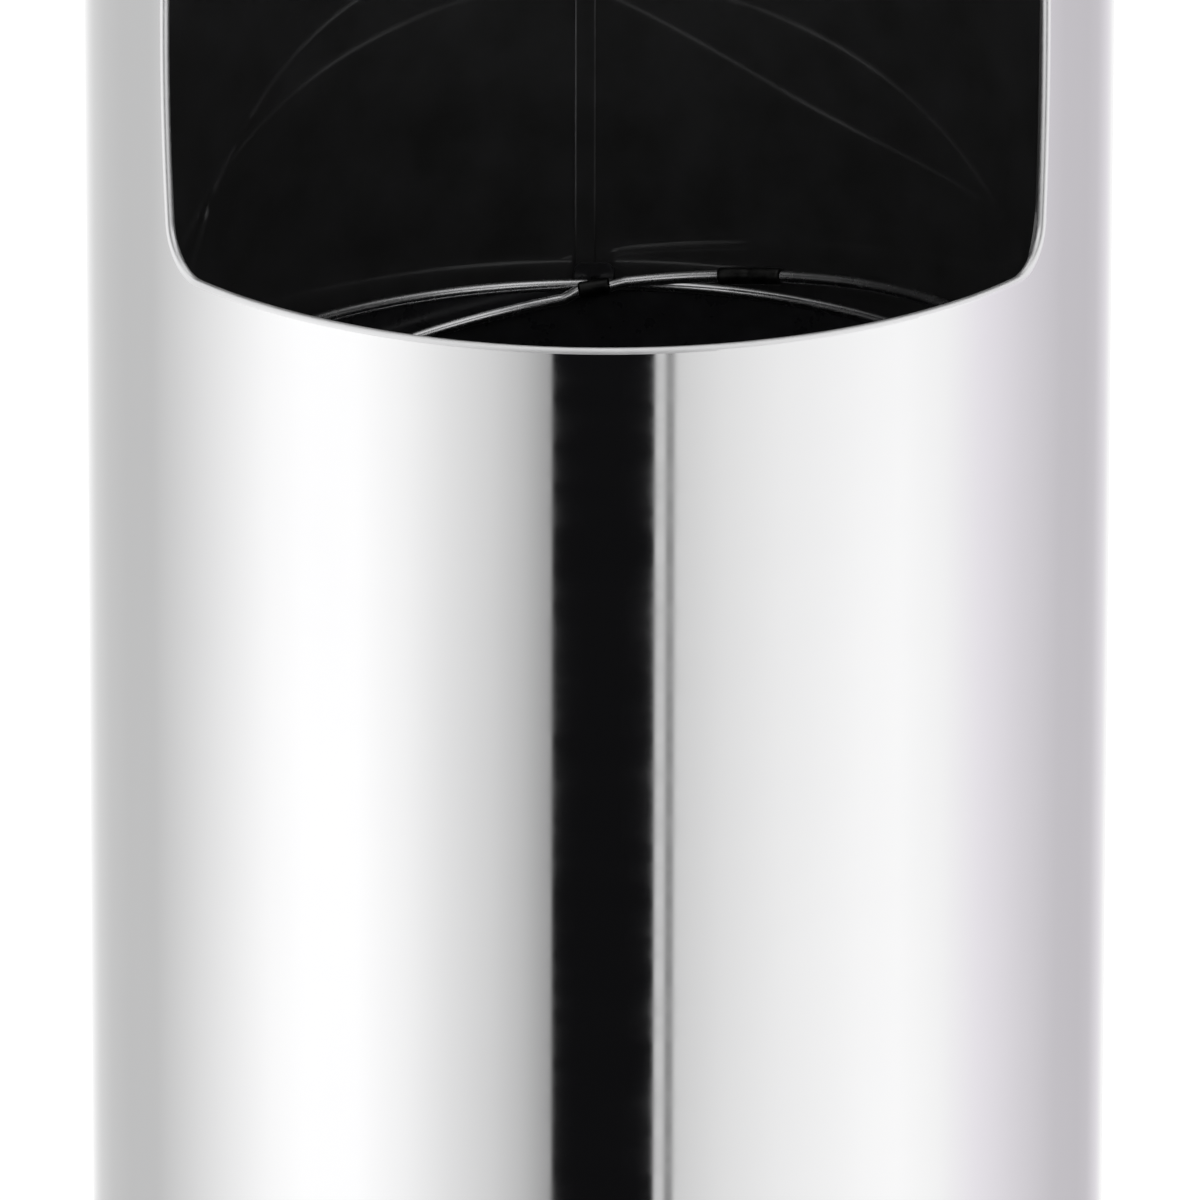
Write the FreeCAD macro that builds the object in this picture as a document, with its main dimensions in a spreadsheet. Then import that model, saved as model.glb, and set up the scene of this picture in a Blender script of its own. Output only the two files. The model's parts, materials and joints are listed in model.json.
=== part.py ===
"""Umbrella stand: a polished tube with a side window and a lift-out drip bucket.

Frame: +Z up, -Y the side with the window, origin on the floor at the tube's axis.
Lengths are in millimetres and angles in degrees.
"""
import FreeCAD, Part
import math
import os
import re

import Sketcher

doc = FreeCAD.newDocument("UmbrellaStand")
TOLERANCE = 0.01                  # for finding edges by where they are

# ---------------------------------------------------------------- driving dimensions
SIZES = {
    # stand
    "stand_height": 600,
    "shell_radius": 125,
    "shell_sheet": 1.0,
    "shell_foot": 4,              # height of the shell's lower edge above the floor
    "shell_top": 596,
    "fit_gap": 0.05,              # between two pieces that touch
    # window
    "window_bottom": 334,
    "window_top": 446,
    "window_half_angle": 57.8,
    "window_turn": 1.3,           # how far the window's middle is turned from -Y towards +X
    "window_corner": 11,
    "hem_depth": 2.6,             # thickness of the folded edge
    "hem_width": 5,
    "hem_round": 1.2,
    "cutter_reach": 15,           # how far cutting tools stand outside the shell
    # liner
    "liner_radius": 115,
    "liner_sheet": 0.8,
    "liner_margin": 16,           # how much larger the liner's window is all round
    "seam_angle": 2.6,
    "seam_sheet": 0.7,
    "seam_turn": 1.75,            # how far the liner's seam is turned from +Y towards -X
    "seam_foot": 12,
    "seam_top": 589.5,
    # top ring
    "top_ring_outer": 127,
    "top_ring_inner": 113,
    "top_ring_foot": 590,
    "top_ring_round": 2.9,
    # base
    "plate_sheet": 1.2,
    "base_collar_top": 28,
    "foot_ring_width": 3,         # the ring that centres the liner's foot
    "foot_ring_top": 9,
    "ballast_radius": 100,
    "ballast_thickness": 8,
    "ballast_chamfer": 1.5,
    "ballast_screw_circle": 60,
    "base_ring_outer": 127,
    "base_ring_inner": 108,
    "base_ring_lip_top": 14,
    "base_ring_round": 1.4,
    "base_screw_circle": 119.5,
    "screw_radius": 2.0,
    "screw_clearance": 0.2,
    "screw_head_radius": 4.0,
    "screw_head": 2.2,
    "ring_well_top": 2.4,         # the ledge in the base ring that its screws' heads clamp
    "ring_screw_head": 1.8,
    "screw_tip_cover": 1,         # metal left above a ballast screw's tip
    "ring_screw_tip": 2,          # how far a base ring screw stands above the plate
    "rivet_radius": 2.0,
    "rivet_tail": 1.0,
    "rivet_inset": 0.5,
    "rivet_count": 6,
    "rivet_head_radius": 3.4,
    "rivet_head": 1.1,
    "shell_rivet_height": 9,
    # bucket
    "bucket_foot": 5.5,
    "bucket_foot_radius": 102,
    "bucket_top_radius": 107.1,
    "bucket_sheet": 0.8,
    "bucket_turn": 0.65,          # how far the bucket is turned, counterclockwise from above
    "rim_height": 266.7,          # height of the rim wire's centre
    "rim_radius": 106.9,
    "rim_wire": 1.45,
    "rim_gap": 3.4,               # opening in the rim wire at each of the ring's pins
    "bucket_floor_height": 18,
    "bucket_floor_flange": 8,
    "bucket_seam_width": 6,
    "bucket_seam_foot": 10,
    "bucket_seam_top": 260,
    "mat_radius": 98,
    "mat_thickness": 3,
    "mat_hole_radius": 4,
    "mat_inner_circle": 38,
    "mat_outer_circle": 74,
    # ears
    "ear_angle": 22,
    "ear_sheet": 1.5,
    "ear_foot": 237,
    "ear_shoulder": 254,
    "ear_top": 271.4,
    "ear_tab_angle": 5.4,
    "ear_round": 2.5,
    "ear_joggle": 1.8,            # how far the tab steps outwards to clear the rim
    "ear_joggle_foot": 257,
    "ear_joggle_top": 260.5,
    "ear_rivet_height": 245.5,
    "ear_rivet_turn": 6,          # degrees each side of the ear's middle
    # swing ring
    "ring_radius": 102.7,
    "ring_wire": 1.5,
    "ring_height": 267.3,
    "ring_tilt": 9.6,             # the +X side is the raised one
    "collar_length": 8,
    "collar_radius": 2.35,
    "collar_clearance": 0.2,
    "pin_radius": 0.9,
    "pin_hole_radius": 0.96,
    "pin_head_start": 110.9,
    "pin_head": 0.9,
    "pin_head_radius": 1.7,
    "sleeve_radius": 2.2,
    "sleeve_length": 17,
    "sleeve_azimuth": 67.5,       # from +X towards +Y in the ring's own plane
}

sheet = doc.addObject("Spreadsheet::Sheet", "Sizes")
for row, (alias, number) in enumerate(SIZES.items(), start=1):
    sheet.set(f"A{row}", alias)
    sheet.set(f"B{row}", str(number))
    sheet.setAlias(f"B{row}", alias)
doc.recompute()


def size(alias):
    """A cell's number, for placements and starting geometry."""
    return float(getattr(sheet, alias))


def bind(thing, prop, text):
    """Binds a property to an expression written with the sheet's aliases."""
    names = re.compile(r"\b(" + "|".join(SIZES) + r")\b")
    thing.setExpression(prop, names.sub(r"Sizes.\1", text))


# ---------------------------------------------------------------- building helpers
def turned(angle, base=FreeCAD.Vector(0, 0, 0)):
    """A placement turned about the stand's axis."""
    return FreeCAD.Placement(base, FreeCAD.Rotation(FreeCAD.Vector(0, 0, 1), angle))


def origin_plane(body, role):
    """One of a body's own origin planes or axes."""
    return next(item for item in body.Origin.OriginFeatures if item.Role == role)


def new_sketch(body, name, role):
    sketch = body.newObject("Sketcher::SketchObject", name)
    sketch.AttachmentSupport = (origin_plane(body, role), [""])
    sketch.MapMode = "FlatFace"
    return sketch


def pin_point(sketch, geometry, vertex, across, up):
    """Holds a sketch point at two bound distances from the sketch's origin."""
    for kind, text in (("DistanceX", across), ("DistanceY", up)):
        index = sketch.addConstraint(Sketcher.Constraint(kind, -1, 1, geometry, vertex, 1.0))
        bind(sketch, f"Constraints[{index}]", text)


def polygon(sketch, corners):
    """A closed outline whose corners are pairs of expressions."""
    count = len(corners)
    start = [FreeCAD.Vector(50 + 10 * math.cos(i), 50 + 10 * math.sin(i), 0)
             for i in range(count)]
    lines = [sketch.addGeometry(Part.LineSegment(start[i], start[(i + 1) % count]), False)
             for i in range(count)]
    for i, line in enumerate(lines):
        following = lines[(i + 1) % count]
        sketch.addConstraint(Sketcher.Constraint("Coincident", line, 2, following, 1))
    for line, (across, up) in zip(lines, corners):
        pin_point(sketch, line, 1, across, up)


def turned_body(label, corners, angle="360"):
    """A body revolved about the vertical axis; corners are (radius, height) pairs."""
    body = doc.addObject("PartDesign::Body", label)
    sketch = new_sketch(body, label + "_outline", "XZ_Plane")
    polygon(sketch, corners)
    solid = body.newObject("PartDesign::Revolution", label + "_turn")
    solid.Profile = sketch
    solid.ReferenceAxis = (sketch, ["V_Axis"])
    solid.Midplane = angle != "360"
    bind(solid, "Angle", angle)
    body.Tip = solid
    doc.recompute()
    return body


def edges_where(shape, test):
    """Names of the edges that pass a test."""
    return [f"Edge{i}" for i, edge in enumerate(shape.Edges, start=1) if test(edge)]


def round_edges(body, test, radius):
    """Rounds the chosen edges of a body's last feature."""
    last = body.Tip
    fillet = body.newObject("PartDesign::Fillet", body.Name + "_round")
    fillet.Base = (last, edges_where(last.Shape, test))
    bind(fillet, "Radius", radius)
    body.Tip = fillet
    doc.recompute()


def ring_edge(radius, height):
    """A test for the circular edge of this radius at this height."""
    def test(edge):
        circle = edge.Curve
        return (isinstance(circle, Part.Circle) and abs(circle.Radius - radius) < TOLERANCE
                and abs(circle.Center.z - height) < TOLERANCE)
    return test


def drill(body, name, radius, circle, count, depth=None):
    """Cuts upright holes from height 0, spread evenly on a circle, right through or to a depth."""
    before = body.Shape.Volume
    sketch = new_sketch(body, name, "XY_Plane")
    hole = sketch.addGeometry(Part.Circle(FreeCAD.Vector(50, 0, 0), FreeCAD.Vector(0, 0, 1), 3))
    sketch.addConstraint(Sketcher.Constraint("PointOnObject", hole, 3, -1))
    place = sketch.addConstraint(Sketcher.Constraint("DistanceX", -1, 1, hole, 3, 50))
    bind(sketch, f"Constraints[{place}]", circle)
    width = sketch.addConstraint(Sketcher.Constraint("Radius", hole, 3))
    bind(sketch, f"Constraints[{width}]", radius)
    pocket = body.newObject("PartDesign::Pocket", name + "_pocket")
    pocket.Profile = sketch
    pocket.Type = "Length" if depth else "ThroughAll"
    if depth:
        bind(pocket, "Length", depth)
    pocket.Reversed = True
    doc.recompute()
    pattern = body.newObject("PartDesign::PolarPattern", name + "_pattern")
    pattern.Originals = [pocket]
    pattern.Axis = (origin_plane(body, "Z_Axis"), [""])
    pattern.Angle = 360
    pattern.Occurrences = count
    body.Tip = pattern
    doc.recompute()
    assert body.Shape.Volume < before, name + " cut nothing"


def bound_cylinder(name, radius, height, placement=FreeCAD.Placement()):
    cylinder = doc.addObject("Part::Cylinder", name)
    bind(cylinder, "Radius", radius)
    bind(cylinder, "Height", height)
    cylinder.Placement = placement
    return cylinder


def bound_torus(name, radius, wire, angle="360"):
    """A wire ring about Z, or the stretch of one that starts at +X."""
    torus = doc.addObject("Part::Torus", name)
    bind(torus, "Radius1", radius)
    bind(torus, "Radius2", wire)
    bind(torus, "Angle3", angle)
    return torus


def boolean(kind, name, base, tool):
    """Part::Cut, Part::Common or Part::Fuse of two objects."""
    result = doc.addObject("Part::" + kind, name)
    result.Base = base
    result.Tool = tool
    doc.recompute()
    return result


def group(label, members):
    """Separate identical solids that share one node."""
    compound = doc.addObject("Part::Compound", label)
    compound.Links = members
    doc.recompute()
    return compound


def radial(azimuth, radius, height):
    """A placement whose Z axis points outwards from the stand's axis."""
    angle = math.radians(azimuth)
    outwards = FreeCAD.Vector(math.cos(angle), math.sin(angle), 0)
    spin = FreeCAD.Rotation(FreeCAD.Vector(0, 0, 1), outwards)
    return FreeCAD.Placement(outwards * radius + FreeCAD.Vector(0, 0, height), spin)


def with_radial_holes(label, base, places):
    """Cuts rivet holes from the axis outwards; places are (azimuth, height) pairs."""
    drills = [bound_cylinder(f"{label}_drill_{i + 1}", "rivet_radius + fit_gap",
                             "shell_radius + cutter_reach", radial(azimuth, 0, height))
              for i, (azimuth, height) in enumerate(places)]
    tools = doc.addObject("Part::MultiFuse", label + "_drills")
    tools.Shapes = drills
    doc.recompute()
    return boolean("Cut", label, base, tools)


# ---------------------------------------------------------------- window
def slot_prism(name, azimuth, margin):
    """The rounded side of the window: an upright slot pushed outwards along its azimuth."""
    body = doc.addObject("PartDesign::Body", name)
    sketch = new_sketch(body, name + "_outline", "YZ_Plane")
    corner = size("window_corner")
    low, high = size("window_bottom") + corner, size("window_top") - corner
    up = FreeCAD.Vector(0, 0, 1)
    top = sketch.addGeometry(Part.ArcOfCircle(
        Part.Circle(FreeCAD.Vector(0, high, 0), up, corner), 0, math.pi))
    left = sketch.addGeometry(Part.LineSegment(
        FreeCAD.Vector(-corner, high, 0), FreeCAD.Vector(-corner, low, 0)))
    bottom = sketch.addGeometry(Part.ArcOfCircle(
        Part.Circle(FreeCAD.Vector(0, low, 0), up, corner), math.pi, 2 * math.pi))
    right = sketch.addGeometry(Part.LineSegment(
        FreeCAD.Vector(corner, low, 0), FreeCAD.Vector(corner, high, 0)))
    chain = [(top, 2, left, 1), (left, 2, bottom, 1), (bottom, 2, right, 1), (right, 2, top, 1)]
    for joint in chain:
        sketch.addConstraint(Sketcher.Constraint("Tangent", *joint))
    for arc in (top, bottom):
        sketch.addConstraint(Sketcher.Constraint("PointOnObject", arc, 3, -2))
    for arc in (top, bottom):
        radius = sketch.addConstraint(Sketcher.Constraint("Radius", arc, corner))
        bind(sketch, f"Constraints[{radius}]", f"window_corner + {margin}")
    heights = ((bottom, low, "window_bottom + window_corner"),
               (top, high, "window_top - window_corner"))
    for arc, start, text in heights:
        index = sketch.addConstraint(Sketcher.Constraint("DistanceY", -1, 1, arc, 3, start))
        bind(sketch, f"Constraints[{index}]", text)
    pad = body.newObject("PartDesign::Pad", name + "_pad")
    pad.Profile = sketch
    bind(pad, "Length", "shell_radius + cutter_reach")
    body.Tip = pad
    body.Placement = turned(azimuth)
    doc.recompute()
    return body


def window_cutter(name, margin):
    """The window's space, grown by a margin: a wedge between two rounded slots."""
    front = -90 + size("window_turn")
    knuckle = size("window_half_angle") - math.degrees(
        math.asin(size("window_corner") / size("shell_radius")))
    wedge = doc.addObject("Part::Cylinder", name + "_wedge")
    bind(wedge, "Radius", "shell_radius + cutter_reach")
    bind(wedge, "Height", f"window_top - window_bottom + 2 * {margin}")
    bind(wedge, "Angle", "2 * (window_half_angle * 1deg - asin(window_corner / shell_radius))")
    wedge.Placement = turned(front - knuckle)
    bind(wedge, "Placement.Base.z", f"window_bottom - {margin}")
    slots = [slot_prism(f"{name}_slot_{side}", front + sign * knuckle, margin)
             for side, sign in (("left", -1), ("right", 1))]
    cutter = doc.addObject("Part::MultiFuse", name)
    cutter.Shapes = [wedge] + slots
    doc.recompute()
    return cutter


# ---------------------------------------------------------------- the fixed stand
SHELL_RIVETS = [((i + 0.5) * 360 / size("rivet_count"), size("shell_rivet_height"))
                for i in range(int(size("rivet_count")))]


def tube(name, outer, inner, foot, top):
    """A plain tube between two heights."""
    return turned_body(name, [(inner, foot), (outer, foot), (outer, top), (inner, top)])


def build_outer_shell(window, grown_window):
    """Sheet tube, thicker only along the folded edge of the window."""
    stock = tube("shell_stock", "shell_radius", "shell_radius - hem_depth",
                 "shell_foot", "shell_top")
    hollow = tube("shell_hollow", "shell_radius - shell_sheet",
                  "shell_radius - hem_depth - hem_width",
                  "shell_foot - 1", "shell_top + 1")
    thinning = boolean("Cut", "shell_thinning", hollow, grown_window)
    thinned = boolean("Cut", "shell_thinned", stock, thinning)
    opened = boolean("Cut", "shell_opened", thinned, window)
    shell = doc.addObject("Part::Fillet", "shell_hemmed")
    shell.Base = opened
    low, high = size("window_bottom") - TOLERANCE, size("window_top") + TOLERANCE
    hem_radii = (size("shell_radius"), size("shell_radius") - size("hem_depth"))

    def on_hem(edge):
        box = edge.BoundBox
        point = edge.valueAt(0.5 * (edge.FirstParameter + edge.LastParameter))
        radius = math.hypot(point.x, point.y)
        return (box.ZMin > low and box.ZMax < high
                and min(abs(radius - wanted) for wanted in hem_radii) < TOLERANCE)

    bead = size("hem_round")
    shell.Edges = [(int(name[4:]), bead, bead) for name in edges_where(opened.Shape, on_hem)]
    doc.recompute()
    return with_radial_holes("outer_shell", shell, SHELL_RIVETS)


def build_top_ring():
    """Channel-shaped ring that caps the upper edges of shell and liner."""
    groove_in = "liner_radius - liner_sheet - fit_gap"
    ring = turned_body("top_ring", [
        ("top_ring_inner", "top_ring_foot"), (groove_in, "top_ring_foot"),
        (groove_in, "shell_top + fit_gap"), ("shell_radius + fit_gap", "shell_top + fit_gap"),
        ("shell_radius + fit_gap", "top_ring_foot"), ("top_ring_outer", "top_ring_foot"),
        ("top_ring_outer", "stand_height"), ("top_ring_inner", "stand_height")])
    for radius in (size("top_ring_outer"), size("top_ring_inner")):
        round_edges(ring, ring_edge(radius, size("stand_height")), "top_ring_round")
    return ring


def build_liner(wide_window):
    """Black tube inside the shell, cut back to where the window's edge hides its own."""
    stock = tube("liner_stock", "liner_radius", "liner_radius - liner_sheet",
                 "shell_foot + plate_sheet + fit_gap", "shell_top")
    return boolean("Cut", "liner", stock, wide_window)


def build_liner_seam_strip():
    """Lap seam down the inside of the liner's back."""
    face = "liner_radius - liner_sheet - fit_gap"
    strip = turned_body("liner_seam_strip", [
        (face + " - seam_sheet", "seam_foot"), (face, "seam_foot"),
        (face, "seam_top"), (face + " - seam_sheet", "seam_top")], "seam_angle")
    strip.Placement = turned(90 + size("seam_turn"))
    return strip


def build_base_plate():
    """Flat disc that closes the foot of the shell."""
    rim = "shell_radius - shell_sheet - fit_gap"
    plate = turned_body("base_plate", [
        ("0", "shell_foot"), (rim, "shell_foot"), (rim, "shell_foot + plate_sheet"),
        ("0", "shell_foot + plate_sheet")])
    drill(plate, "plate_ballast_holes", "screw_radius + screw_clearance",
          "ballast_screw_circle", 3)
    drill(plate, "plate_ring_holes", "screw_radius + screw_clearance", "base_screw_circle", 6)
    return plate


def build_base_collar():
    """Upright ring, welded on the plate's edge, that the shell is riveted to."""
    rim = "shell_radius - shell_sheet - fit_gap"
    collar = tube("base_collar_ring", rim, rim + " - plate_sheet",
                  "shell_foot + plate_sheet + fit_gap", "base_collar_top")
    return with_radial_holes("base_collar", collar, SHELL_RIVETS)


def build_liner_foot_ring():
    """Ring, welded on the plate, that centres the liner's foot."""
    outer = "liner_radius - liner_sheet - fit_gap"
    return tube("liner_foot_ring", outer, outer + " - foot_ring_width",
                "shell_foot + plate_sheet + fit_gap", "foot_ring_top")


def build_ballast_disc():
    """Iron disc that weights the base and centres the bucket's skirt."""
    foot = "shell_foot + plate_sheet + fit_gap"
    disc = turned_body("ballast_disc", [
        ("0", foot), ("ballast_radius", foot),
        ("ballast_radius", foot + " + ballast_thickness - ballast_chamfer"),
        ("ballast_radius - ballast_chamfer", foot + " + ballast_thickness"),
        ("0", foot + " + ballast_thickness")])
    drill(disc, "ballast_holes", "screw_radius + screw_clearance", "ballast_screw_circle", 3)
    return disc


def build_base_ring():
    """Rubber ring that the stand rests on, with a lip around the shell's foot."""
    ring = turned_body("base_ring", [
        ("base_ring_inner", "0"), ("base_ring_outer", "0"),
        ("base_ring_outer", "base_ring_lip_top"),
        ("shell_radius + fit_gap", "base_ring_lip_top"),
        ("shell_radius + fit_gap", "shell_foot - fit_gap"),
        ("base_ring_inner", "shell_foot - fit_gap")])
    round_edges(ring, ring_edge(size("base_ring_outer"), 0), "base_ring_round")
    round_edges(ring, ring_edge(size("base_ring_outer"), size("base_ring_lip_top")),
                "base_ring_round")
    drill(ring, "base_ring_holes", "screw_radius + screw_clearance", "base_screw_circle", 6)
    drill(ring, "base_ring_wells", "screw_head_radius + screw_clearance",
          "base_screw_circle", 6, depth="ring_well_top")
    return ring


def screw(name, clamped, head, tip, azimuth, circle):
    """A flat-head screw driven upwards; its head bears on a face at the clamped height."""
    angle = math.radians(azimuth)
    at = FreeCAD.Vector(circle * math.cos(angle), circle * math.sin(angle),
                        size(clamped) - size("fit_gap"))
    under = at - FreeCAD.Vector(0, 0, size(head))
    cap = bound_cylinder(name + "_head", "screw_head_radius", head,
                         FreeCAD.Placement(under, FreeCAD.Rotation()))
    shank = bound_cylinder(name + "_shank", "screw_radius", f"{tip} - {clamped} + fit_gap",
                           FreeCAD.Placement(at, FreeCAD.Rotation()))
    return boolean("Fuse", name, cap, shank)


def screw_set(label, clamped, head, tip, circle, count):
    """Screws spread evenly on a circle."""
    return group(label, [screw(f"{label}_{i + 1}", clamped, head, tip, i * 360 / count,
                               size(circle)) for i in range(count)])


def build_shell_rivets():
    """Flush rivets through the shell and the base collar."""
    length = size("shell_sheet") + size("fit_gap") + size("plate_sheet") + size("rivet_tail")
    rivets = [bound_cylinder(f"shell_rivet_{i + 1}", "rivet_radius",
                             "shell_sheet + fit_gap + plate_sheet + rivet_tail",
                             radial(azimuth, size("shell_radius") - length, height))
              for i, (azimuth, height) in enumerate(SHELL_RIVETS)]
    return group("shell_rivets", rivets)


# ---------------------------------------------------------------- the drip bucket
EAR_SIDES = {"back": 90 + size("bucket_turn"), "front": -90 + size("bucket_turn")}
EAR_RIVETS = [(azimuth + sign * size("ear_rivet_turn"), size("ear_rivet_height"))
              for azimuth in EAR_SIDES.values() for sign in (-1, 1)]


def bucket_radius(height):
    """The bucket wall's outer radius at a height, as an expression."""
    return ("(bucket_foot_radius + (bucket_top_radius - bucket_foot_radius)"
            f" * ({height} - bucket_foot) / (rim_height - bucket_foot))")


def build_bucket_wall():
    """Tapered sheet wall that ends in a skirt below the floor."""
    top = "rim_height - rim_wire"
    foot_in = "bucket_foot_radius - bucket_sheet"
    wall = turned_body("bucket_wall_sheet", [
        (foot_in, "bucket_foot"), ("bucket_foot_radius", "bucket_foot"),
        (bucket_radius(top), top), (bucket_radius(top) + " - bucket_sheet", top)])
    return with_radial_holes("bucket_wall", wall, EAR_RIVETS)


def build_bucket_floor():
    """Floor disc with its edge turned down inside the wall."""
    top = "bucket_floor_height"
    under = top + " - bucket_sheet"
    edge = bucket_radius(top) + " - bucket_sheet - 3 * fit_gap"
    foot = top + " - bucket_floor_flange"
    return turned_body("bucket_floor", [
        ("0", under), (edge + " - bucket_sheet", under), (edge + " - bucket_sheet", foot),
        (bucket_radius(foot) + " - bucket_sheet - 3 * fit_gap", foot), (edge, top), ("0", top)])


def build_bucket_seam_strip():
    """Lap seam on the outside of the bucket wall."""
    low, high = "bucket_seam_foot", "bucket_seam_top"
    strip = turned_body("bucket_seam_strip", [
        (bucket_radius(low) + " + fit_gap", low),
        (bucket_radius(low) + " + fit_gap + bucket_sheet", low),
        (bucket_radius(high) + " + fit_gap + bucket_sheet", high),
        (bucket_radius(high) + " + fit_gap", high)],
        "bucket_seam_width / bucket_top_radius * 1rad")
    strip.Placement = turned(180)
    return strip


def build_bucket_rim():
    """Bright wire round the bucket's upper edge, with a gap that lets each pin through."""
    whole = bound_torus("bucket_rim_whole", "rim_radius", "rim_wire")
    whole.Placement = FreeCAD.Placement(FreeCAD.Vector(0, 0, size("rim_height")),
                                        FreeCAD.Rotation())
    gap = doc.addObject("Part::Box", "bucket_rim_gap")
    bind(gap, "Length", "rim_gap")
    bind(gap, "Width", "2 * shell_radius")
    bind(gap, "Height", "4 * rim_wire")
    corner = FreeCAD.Vector(-0.5 * size("rim_gap"), -size("shell_radius"),
                            size("rim_height") - 2 * size("rim_wire"))
    gap.Placement = (turned(size("bucket_turn"))
                     * FreeCAD.Placement(corner, FreeCAD.Rotation()))
    return boolean("Cut", "bucket_rim", whole, gap)


def build_tip_mat():
    """Rubber mat on the bucket's floor with two rings of drip holes."""
    foot = "bucket_floor_height + fit_gap"
    mat = turned_body("tip_mat", [
        ("0", foot), ("mat_radius", foot), ("mat_radius", foot + " + mat_thickness"),
        ("0", foot + " + mat_thickness")])
    drill(mat, "mat_inner_holes", "mat_hole_radius", "mat_inner_circle", 8)
    drill(mat, "mat_outer_holes", "mat_hole_radius", "mat_outer_circle", 16)
    return mat


def build_ear(label, azimuth):
    """Riveted plate with a narrow tab that steps outwards and stands up behind the rim."""
    inner = "bucket_top_radius + fit_gap"
    outer = inner + " + ear_sheet"
    plate = turned_body(label + "_sheet", [
        (inner, "ear_foot"), (outer, "ear_foot"), (outer, "ear_shoulder"),
        (inner, "ear_shoulder")], "ear_angle")
    outline = new_sketch(plate, label + "_tab_outline", "XZ_Plane")
    polygon(outline, [
        (inner, "ear_foot"), (outer, "ear_foot"), (outer, "ear_joggle_foot"),
        (outer + " + ear_joggle", "ear_joggle_top"), (outer + " + ear_joggle", "ear_top"),
        (inner + " + ear_joggle", "ear_top"), (inner + " + ear_joggle", "ear_joggle_top"),
        (inner, "ear_joggle_foot")])
    tab = plate.newObject("PartDesign::Revolution", label + "_tab")
    tab.Profile = outline
    tab.ReferenceAxis = (outline, ["V_Axis"])
    tab.Midplane = True
    bind(tab, "Angle", "ear_tab_angle")
    plate.Tip = tab
    doc.recompute()
    corner_heights = (size("ear_foot"), size("ear_shoulder"), size("ear_top"))

    def corner(edge):
        box = edge.BoundBox
        level = any(abs(box.ZMin - h) + abs(box.ZMax - h) < TOLERANCE for h in corner_heights)
        return level and abs(edge.Length - size("ear_sheet")) < TOLERANCE

    round_edges(plate, corner, "ear_round")
    plate.Placement = turned(azimuth)
    holes = [bound_cylinder(label + "_pin_hole", "pin_hole_radius", "shell_radius",
                            radial(azimuth, 0, size("ring_height")))]
    rivets = [place for place in EAR_RIVETS if abs(place[0] - azimuth) < 90]
    for i, (turn, height) in enumerate(rivets):
        holes.append(bound_cylinder(f"{label}_rivet_hole_{i + 1}", "rivet_radius + fit_gap",
                                    "shell_radius", radial(turn, 0, height)))
    tools = doc.addObject("Part::MultiFuse", label + "_drills")
    tools.Shapes = holes
    doc.recompute()
    return boolean("Cut", label, plate, tools)


def build_ear_rivets(label, azimuth):
    """Two rivets with low heads inside and outside."""
    inside = size("bucket_top_radius") - size("bucket_sheet") - size("rivet_inset")
    outside = size("bucket_top_radius") + size("ear_sheet") + 2 * size("fit_gap")
    rivets = []
    for i, (turn, height) in enumerate(p for p in EAR_RIVETS if abs(p[0] - azimuth) < 90):
        shank = bound_cylinder(f"{label}_{i + 1}_shank", "rivet_radius",
                               f"{outside - inside}", radial(turn, inside, height))
        head = bound_cylinder(f"{label}_{i + 1}_head", "rivet_head_radius", "rivet_head",
                              radial(turn, outside, height))
        tail = bound_cylinder(f"{label}_{i + 1}_tail", "rivet_head_radius", "rivet_head",
                              radial(turn, inside - size("rivet_head"), height))
        rivet = doc.addObject("Part::MultiFuse", f"{label}_{i + 1}")
        rivet.Shapes = [shank, head, tail]
        rivets.append(rivet)
    doc.recompute()
    return group(label, rivets)


# ---------------------------------------------------------------- the swing ring
def ring_placement():
    """The swing ring's middle, tilted about the line through its pins to where it rests."""
    tilt = FreeCAD.Placement(FreeCAD.Vector(0, 0, 0),
                             FreeCAD.Rotation(FreeCAD.Vector(0, 1, 0), -size("ring_tilt")))
    return turned(size("bucket_turn"), FreeCAD.Vector(0, 0, size("ring_height"))) * tilt


def build_swing_ring():
    """Wire ring that swings inside the bucket's mouth and lifts the bucket."""
    ring = bound_torus("swing_ring", "ring_radius", "ring_wire")
    ring.Placement = ring_placement()
    doc.recompute()
    return ring


def build_ring_sleeve():
    """Sleeve that joins the two ends of the ring's wire."""
    angle = "sleeve_length / ring_radius * 1rad"
    outside = bound_torus("ring_sleeve_stock", "ring_radius", "sleeve_radius", angle)
    bore = bound_torus("ring_sleeve_bore", "ring_radius", "ring_wire + fit_gap", angle)
    sleeve = boolean("Cut", "ring_sleeve", outside, bore)
    half = math.degrees(0.5 * size("sleeve_length") / size("ring_radius"))
    sleeve.Placement = ring_placement() * turned(size("sleeve_azimuth") - half)
    doc.recompute()
    return sleeve


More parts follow.
